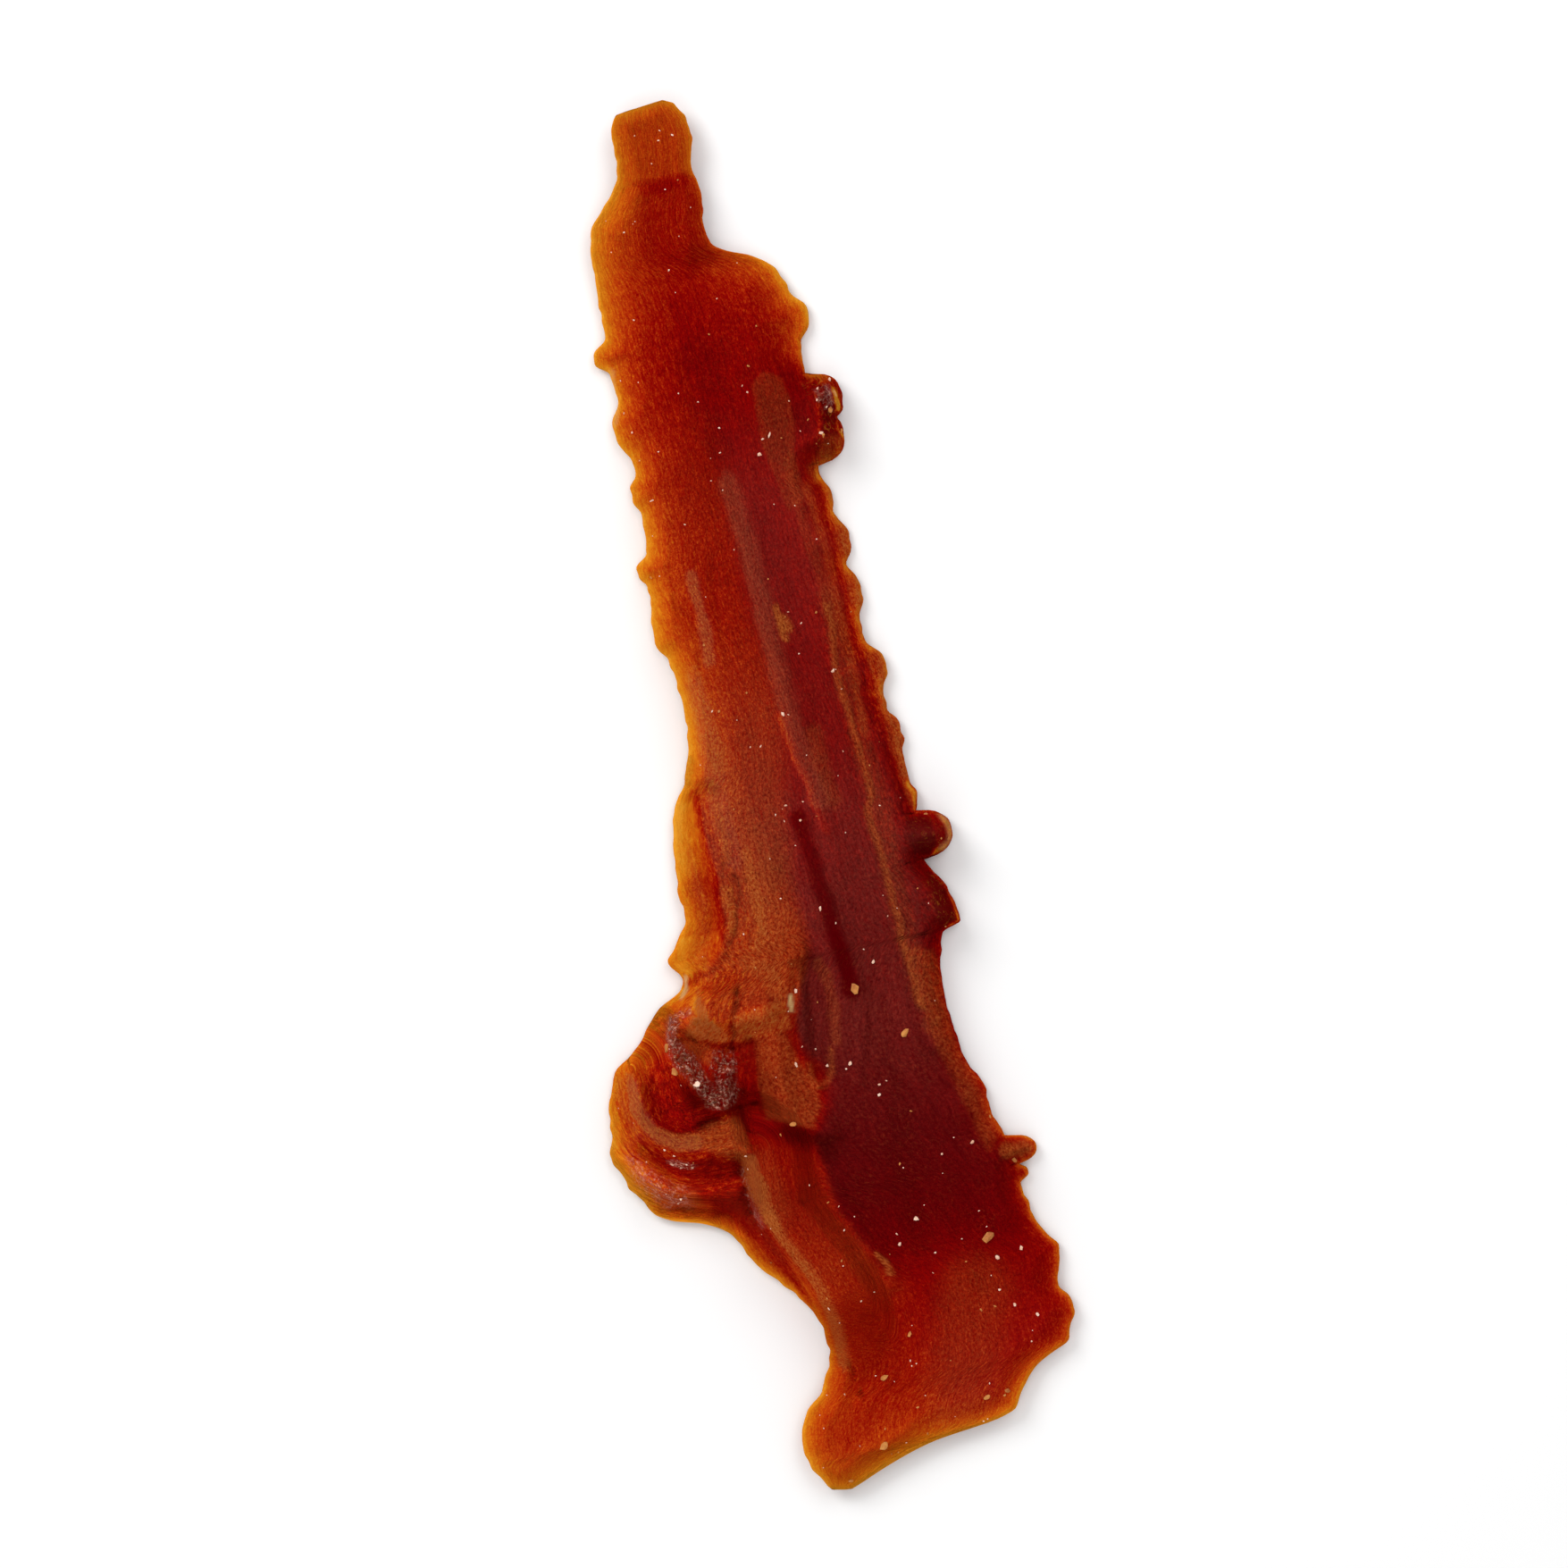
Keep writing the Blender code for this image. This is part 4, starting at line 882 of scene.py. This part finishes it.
def top_surface(x, y, depth):
    """Height of the top of the strip, and the height of the underside below it."""
    low = underside(y, depth)
    least = RIM_THICKNESS * quarter_round(depth, RIM_ROUND)
    folds = (crests(x, y, FOLDS) + crests(*wander(x, y), CREASES)) * quarter_round(depth, FOLD_ROUND)
    plain = np.maximum(thickness(x, y, depth) + folds, least)
    fine = fine_relief(x, y, depth, painted(x, y, CRUSTS), painted(x, y, WET))
    return low + np.maximum(plain + fine, LEAST_SHARE * least), low


def over_the_top(turn):
    """Angles round the section, for shares of a turn, with most of the points on the top."""
    on_top = math.pi * turn / TOP_SHARE
    below = math.pi * (1 + (turn - TOP_SHARE) / (1 - TOP_SHARE))
    return np.where(turn <= TOP_SHARE, on_top, below)


def lay_out(share, angle):
    """Where the surface's points lie in plan. Share runs from the broad end to the tab, and angle goes
    round the section from the right edge over the top."""
    y = through(RING_PLACES, share)
    left, right = through(LEFT_EDGE, y), through(RIGHT_EDGE, y)
    left_reach, right_reach = scallop_reach(y)
    turn = np.arccos(np.cos(angle))
    across = (1 - EDGE_CROWDING) * (1 - 2 * turn / math.pi) + EDGE_CROWDING * np.cos(angle)
    plain = (left + right) / 2 + (right - left) / 2 * across
    pushed_right = right_reach * np.maximum(across, 0) ** SCALLOP_FADE
    pushed_left = left_reach * np.maximum(-across, 0) ** SCALLOP_FADE
    return plain + pushed_right - pushed_left, y


def tones(x, y, depth, share_up):
    """How deep the colour of the meat is, from 0 at an amber rim to 2 in the darkest basin."""
    body = across_divide(*wander(x, y), LEFT_TONE, RIGHT_TONE)
    rim = over_sides(x, y, LEFT_RIM, RIGHT_RIM)
    fade = over_sides(x, y, LEFT_FADE, RIGHT_FADE)
    tone = body + (rim - body) * np.exp(-depth / fade)
    return tone + painted(x, y, SHADES, SHADE_AREAS) * smooth(0, SHADE_START, depth) * share_up


def films(x, y, depth):
    """How much brown bloom lies on the meat, and how much purplish haze."""
    inner = smooth(*FILM_START, depth)
    bloom = across_divide(x, y, LEFT_FILM, NO_FILM) * inner + painted(x, y, BLOOMS, BLOOM_AREAS)
    haze = across_divide(x, y, LEFT_HAZE, RIGHT_HAZE) * inner + painted(x, y, HAZES)
    return bloom, haze


def mesh_from(name, points, faces):
    """A mesh in metres from points in millimetres."""
    mesh = bpy.data.meshes.new(name)
    mesh.from_pydata((np.asarray(points) * MM).tolist(), [], faces)
    mesh.update()
    return mesh


def link(name, data):
    """A new object in the scene."""
    thing = bpy.data.objects.new(name, data)
    bpy.context.scene.collection.objects.link(thing)
    return thing


def tube_faces():
    """Faces of a closed tube of rings whose two ends run together in a point each."""
    ring = np.arange(SEGMENTS)
    after = (ring + 1) % SEGMENTS
    sides = list(zip(ring.tolist(), after.tolist()))
    faces = [(0, 1 + b, 1 + a) for a, b in sides]
    for row in range(RINGS - 2):
        start = 1 + row * SEGMENTS
        next_row = start + SEGMENTS
        quads = np.column_stack((start + ring, start + after, next_row + after, next_row + ring))
        faces.extend(map(tuple, quads.tolist()))
    last = 1 + (RINGS - 2) * SEGMENTS
    tip = last + SEGMENTS
    faces.extend((tip, last + a, last + b) for a, b in sides)
    return faces


def make_strip():
    """The strip's fine surface, with the attributes that its material reads."""
    share = np.repeat(np.arange(1, RINGS) / RINGS, SEGMENTS)
    turn = np.tile(np.arange(SEGMENTS) / SEGMENTS, RINGS - 1)
    share = np.concatenate(([0.0], share, [1.0]))
    angle = over_the_top(np.concatenate(([0.0], turn, [0.0])))
    x, y = lay_out(share, angle)
    depth = depth_of(x, y)
    across, along = grain(x, y)
    high, low = top_surface(x, y, depth)
    low = low + quarter_round(depth, ROUND_BELOW) * (HOLLOW_BELOW + relief(across, along, *FIBRES_BELOW))
    share_up = (1 + np.sign(np.round(np.sin(angle), 6))) / 2
    z = low + (high - low) * share_up
    mesh = mesh_from("strip_surface", np.column_stack((x, y, z)), tube_faces())
    mesh.shade_smooth()

    bloom, haze = films(x, y, depth)
    stored = {"tone": tones(x, y, depth, share_up), "bloom": bloom * share_up, "haze": haze}
    # These painted areas include the painted light, and the gloss with painted highlights
    for name, areas in (("lift", PAINTED_LIGHT_AREAS), ("gloss_and_highlight", GLOSS_AND_HIGHLIGHT_AREAS), ("crinkle", CRINKLE_AREAS)):
        stored[name] = painted(x, y, {}, areas) * share_up
    for name, lines in (("pale", PALE_FAT_AND_HIGHLIGHT), ("crust", CRUSTS), ("wet", WET)):
        stored[name] = painted(x, y, lines) * share_up
    stored |= {"crinkle": CRINKLE + stored["crinkle"], "across": across, "along": along}
    for name, values in stored.items():
        mesh.attributes.new(name, "FLOAT", "POINT").data.foreach_set("value", values.astype(np.float32))
    return link("strip_surface", mesh)


def fit_to_solid(thing):
    """Moves the mesh so that its box has the solid's middle and stands where the solid stands."""
    points = np.array([vertex.co for vertex in thing.data.vertices])
    low, high = points.min(axis=0), points.max(axis=0)
    middle = (strip_low + strip_high) / 2
    shift = (middle.x - (low[0] + high[0]) / 2, middle.y - (low[1] + high[1]) / 2, strip_low.z - low[2])
    thing.data.transform(Matrix.Translation(shift))
    return shift


def linear(red, green, blue):
    """A colour given as screen values from 0 to 255, as the linear numbers that shaders take."""
    values = [c / 255 for c in (red, green, blue)]
    return tuple(c / 12.92 if c <= 0.04045 else ((c + 0.055) / 1.055) ** 2.4 for c in values) + (1.0,)


class Nodes:
    """A material's nodes, made and joined in few words."""

    def __init__(self, name):
        self.material = bpy.data.materials.new(name)
        self.material.use_nodes = True
        self.tree = self.material.node_tree
        self.shader = self.tree.nodes["Principled BSDF"]

    def fill(self, node, inputs):
        """Sets a node's inputs to numbers and colours, or links them to other nodes."""
        for name, value in inputs.items():
            if isinstance(value, bpy.types.NodeSocket):
                self.tree.links.new(value, node.inputs[name])
            else:
                node.inputs[name].default_value = value

    def add(self, kind, inputs, output=0, **settings):
        """The output of a new node."""
        node = self.tree.nodes.new(kind)
        for name, value in settings.items():
            setattr(node, name, value)
        self.fill(node, inputs)
        return node.outputs[output]

    def attribute(self, name):
        return self.add("ShaderNodeAttribute", {}, "Fac", attribute_name=name)

    def math(self, operation, a, b, c=0.0, clamp=False):
        return self.add("ShaderNodeMath", {0: a, 1: b, 2: c}, operation=operation, use_clamp=clamp)

    def plus(self, a, b, clamp=False):
        return self.math("ADD", a, b, clamp=clamp)

    def times(self, a, b, clamp=False):
        return self.math("MULTIPLY", a, b, clamp=clamp)

    def noise(self, scale, detail, roughness, distortion, place=None):
        """Noise at a place, or else all over the object, with this many cells a metre."""
        if place is None:
            place = self.add("ShaderNodeTexCoord", {}, "Object")
        inputs = {"Vector": place, "Scale": scale, "Detail": detail, "Roughness": roughness}
        return self.add("ShaderNodeTexNoise", inputs | {"Distortion": distortion}, "Fac")

    def fibred(self, across, along, detail, roughness, distortion):
        """Noise that follows the fibres, with these numbers of cells a millimetre across and along them."""
        x = self.times(self.attribute("across"), across)
        y = self.times(self.attribute("along"), along)
        place = self.add("ShaderNodeCombineXYZ", {"X": x, "Y": y})
        return self.noise(1.0, detail, roughness, distortion, place)

    def span(self, value, low, high, to_low=0.0, to_high=1.0):
        """The value with low and high turned into others, and kept between them."""
        inputs = {"Value": value, "From Min": low, "From Max": high, "To Min": to_low, "To Max": to_high}
        return self.add("ShaderNodeMapRange", inputs)

    def swing(self, value, reach, middle=0.0):
        """A noise that swings by a reach to both sides of a middle."""
        return self.span(value, *NOISE_SPREAD, middle - reach, middle + reach)

    def mix(self, share, a, b):
        """Two colours mixed, of which each is a node's or screen values."""
        a, b = (linear(*colour) if isinstance(colour, tuple) else colour for colour in (a, b))
        return self.add("ShaderNodeMix", {0: share, 6: a, 7: b}, 2, data_type="RGBA")

    def ramp(self, share, end, stops):
        """The colour at a share of the way to an end, from stops of (place, colour)."""
        output = self.add("ShaderNodeValToRGB", {"Fac": share})
        elements = output.node.color_ramp.elements
        while len(elements) < len(stops):
            elements.new(1.0)
        for element, (place, colour) in zip(elements, stops):
            element.position = place / end
            element.color = linear(*colour)
        return output

    def bump(self, height, distance, strength, **under):
        """Bumps of this distance in millimetres, over those under them."""
        inputs = {"Height": height, "Distance": distance * MM, "Strength": strength}
        return self.add("ShaderNodeBump", inputs | under)


def meat_material():
    """Dried meat: the tone gives the colour, and bloom, fat, crust and painted highlights lie over it.
    Painted shade deepens the crinkles' furrows, and painted light brightens shaded hollows.
    """
    n = Nodes("dried_meat_surface")
    fibres, crinkles, threads, speckle = (
        n.fibred(*values) for values in (FIBRE_NOISE, CRINKLE_NOISE, THREAD_NOISE, SPECKLE_NOISE)
    )
    mottle, dust, crumple, glints = (
        n.noise(*values) for values in (MOTTLE_NOISE, DUST_NOISE, CRUMPLE_NOISE, GLINT_NOISE)
    )
    deep, bloom, haze, gloss_and_highlight, crust, pale, wet, lift, crinkle = map(n.attribute, (
        "tone", "bloom", "haze", "gloss_and_highlight", "crust", "pale", "wet", "lift", "crinkle"
    ))

    streaks = n.plus(n.swing(fibres, 0.05), n.swing(threads, 0.13))
    grit = n.math("MULTIPLY_ADD", n.plus(bloom, haze), 1.6, 0.7)
    grains = n.times(n.plus(n.swing(speckle, 0.3), n.swing(dust, 0.2)), grit)
    # Painted shade and light: the tone is deeper in the crinkles' furrows and lighter on their tops, in step
    # with their bumps
    furrow_shading = n.times(n.swing(crinkles, -0.26), crinkle)
    marks = n.plus(n.plus(streaks, n.swing(mottle, 0.03)), n.plus(grains, furrow_shading))
    tone = n.plus(deep, n.times(marks, n.span(deep, 0.0, 0.9, 0.14, 1.0)))
    colour = n.ramp(n.math("DIVIDE", tone, DEEPEST_TONE, clamp=True), DEEPEST_TONE, TONE_COLOURS)

    grainy = n.math("MAXIMUM", n.plus(n.swing(threads, -0.35, 1.0), n.swing(speckle, -0.7)), 0.1)
    film = n.times(bloom, grainy, clamp=True)
    thin_film = n.times(n.span(speckle, 0.5, 0.3), n.span(mottle, 0.4, 0.7, 0.0, 0.1))
    gloss_and_highlight = n.times(gloss_and_highlight, n.span(crumple, 0.42, 0.54), clamp=True)
    for share, layer in (
        (n.times(haze, grainy, clamp=True), HAZE_COLOUR),
        (n.plus(film, thin_film, clamp=True), n.mix(n.span(speckle, 0.65, 0.35), BLOOM_DARK, BLOOM_LIGHT)),
        # Painted highlights: a light network where the glints noise is high, on the glossy crumpled meat
        (gloss_and_highlight, n.mix(n.span(glints, 0.5, 0.62), BETWEEN_HIGHLIGHTS_COLOUR, PAINTED_HIGHLIGHT_COLOUR)),
        (n.times(crust, 0.35, clamp=True), n.mix(n.span(crumple, 0.56, 0.66), CRUST_COLOUR, CRUST_GLINT)),
        # Pale fat, and the painted highlight on the lip of the notch
        (n.times(pale, n.span(speckle, 0.25, 0.7, 0.6, 1.2), clamp=True), FAT_AND_HIGHLIGHT_COLOUR),
    ):
        colour = n.mix(share, colour, layer)
    # Painted light: the colour is scaled up by the lift attribute, or down where it is below 0, to brighten
    # hollows and slopes that the lamps leave in shade
    painted_light_colour = n.add("ShaderNodeVectorMath", {0: colour, "Scale": n.plus(lift, 1.0)}, operation="SCALE")

    matte = n.plus(n.swing(speckle, 0.08, 0.5), n.times(film, 0.2))
    crumpled = n.times(crumple, n.plus(crust, wet, clamp=True))
    normal = n.bump(fibres, 0.12, 0.6)
    normal = n.bump(n.times(crinkles, crinkle), 0.16, 0.9, Normal=normal)
    normal = n.bump(speckle, 0.12, 0.9, Normal=normal)
    n.fill(n.shader, {
        "Base Color": painted_light_colour,
        "Roughness": n.math("SUBTRACT", matte, n.times(gloss_and_highlight, 0.2), clamp=True),
        "Specular IOR Level": n.times(n.plus(n.times(wet, 0.1), gloss_and_highlight), 0.35),
        "Specular Tint": (1.0, 0.55, 0.4, 1.0),
        "Subsurface Weight": 0.08,
        "Subsurface Radius": (1.0, 0.25, 0.1),
        "Subsurface Scale": 0.6 * MM,
        "Normal": n.bump(crumpled, 0.35, 0.9, Normal=normal),
    })
    return n.material


def crumb_material(name, colour, dark_colour):
    """A crumb's dry surface, mottled between two colours."""
    n = Nodes(name)
    mottle = n.noise(*CRUMB_NOISE)
    n.fill(n.shader, {
        "Base Color": n.mix(n.span(mottle, 0.35, 0.65), dark_colour, colour),
        "Roughness": n.swing(mottle, 0.15, 0.65),
        "Specular IOR Level": 0.3,
        "Normal": n.bump(mottle, 0.05, 0.5),
    })
    return n.material


def crumb(rng, size, stretch, turn):
    """One crumb: a rough chip with a few flat sides, as points round the origin and triangles."""
    shape = bmesh.new()
    bmesh.ops.create_icosphere(shape, subdivisions=1, radius=0.5)
    points = np.array([vertex.co for vertex in shape.verts])
    faces = [[vertex.index for vertex in face.verts] for face in shape.faces]
    shape.free()
    points *= rng.uniform(*CRUMB_CORNERS, (len(points), 1))
    points *= (size * stretch, size, size * rng.uniform(*CRUMB_HEIGHT))
    spin = Matrix.Rotation(math.radians(turn), 3, "Z") @ Matrix.Rotation(rng.uniform(*CRUMB_TILT), 3, "X")
    return points @ np.array(spin).T, faces


def make_crumbs(name, rows, seed, material):
    """One mesh of crumbs from their rows, each sunk a little into the surface below it."""
    rng = np.random.default_rng(seed)
    places = np.array([row[:2] for row in rows], dtype=float).T
    heights = top_surface(*places, depth_of(*places))[0]
    points, faces = [], []
    for (x, y, size, stretch, turn), z in zip(rows, heights):
        chip, chip_faces = crumb(rng, size, stretch, turn)
        start = sum(len(part) for part in points)
        faces.extend([start + index for index in face] for face in chip_faces)
        points.append(chip + (x, y, z + CRUMB_RISE * size))
    mesh = mesh_from(name, np.vstack(points), faces)
    mesh.materials.append(material)
    return link(name, mesh)


def scattered(seed, count, sizes):
    """Rows for small crumbs at random places, more of them towards the broad end, none on the very rim."""
    rng = np.random.default_rng(seed)
    rows = []
    while len(rows) < count:
        y = rng.uniform(END + 2, TIP - 3)
        left, right = (float(edge[0]) for edge in edges(np.array([y])))
        x = rng.uniform(left + FREE_RIM, right - FREE_RIM)
        if rng.random() < SHARE_AT_TIP + (1 - SHARE_AT_TIP) * (TIP - y) / LENGTH:
            rows.append((x, y, rng.uniform(*sizes), rng.uniform(*STRETCH), rng.uniform(0, 360)))
    return tuple(rows)


def add_camera():
    camera = link("camera", bpy.data.cameras.new("camera"))
    camera.data.type = "PERSP"
    camera.data.lens = LENS
    camera.data.sensor_width = SENSOR
    camera.location = Vector((*AIM, AIM_HEIGHT + FRAME_WIDTH * LENS / SENSOR)) * MM
    camera.rotation_euler = (0.0, 0.0, ROLL)
    bpy.context.scene.camera = camera


def add_light(name, azimuth, elevation, distance, size, watts):
    """A white area light that looks at the strip. Azimuth goes clockwise from the top of the picture."""
    light = link(name, bpy.data.lights.new(name, "AREA"))
    light.data.size = size
    light.data.energy = watts
    turn, lift = math.radians(azimuth) - ROLL, math.radians(elevation)
    direction = Vector((math.sin(turn) * math.cos(lift), math.cos(turn) * math.cos(lift), math.sin(lift)))
    light.location = direction * distance
    light.rotation_euler = direction.to_track_quat("Z", "Y").to_euler()


def add_stage():
    """A plain pale floor, a white world and soft lights."""
    bpy.ops.mesh.primitive_plane_add(size=FLOOR_SIZE)
    floor = bpy.context.object
    floor.name = "floor"
    n = Nodes("pale_floor")
    n.fill(n.shader, {"Base Color": FLOOR_COLOUR, "Roughness": 0.9, "Specular IOR Level": 0.1})
    floor.data.materials.append(n.material)

    world = bpy.data.worlds.new("studio")
    world.use_nodes = True
    background = world.node_tree.nodes["Background"]
    background.inputs["Color"].default_value = (1.0, 1.0, 1.0, 1.0)
    background.inputs["Strength"].default_value = WORLD_STRENGTH
    bpy.context.scene.world = world
    for light in LIGHTS:
        add_light(*light)
    bpy.context.scene.view_settings.view_transform = "Standard"


add_camera()
add_stage()

strip = make_strip()
shift = fit_to_solid(strip)
strip.data.materials.append(meat_material())
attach(strip, BODY)
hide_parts(STRIP)

for name, placed, strewn, seed, colour, dark_colour in CRUMBS:
    rows = sum((scattered(*kind) for kind in strewn), placed)
    crumbs = make_crumbs(name, rows, seed, crumb_material(name.removesuffix("s"), colour, dark_colour))
    crumbs.data.transform(Matrix.Translation(shift))
    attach(crumbs, BODY)
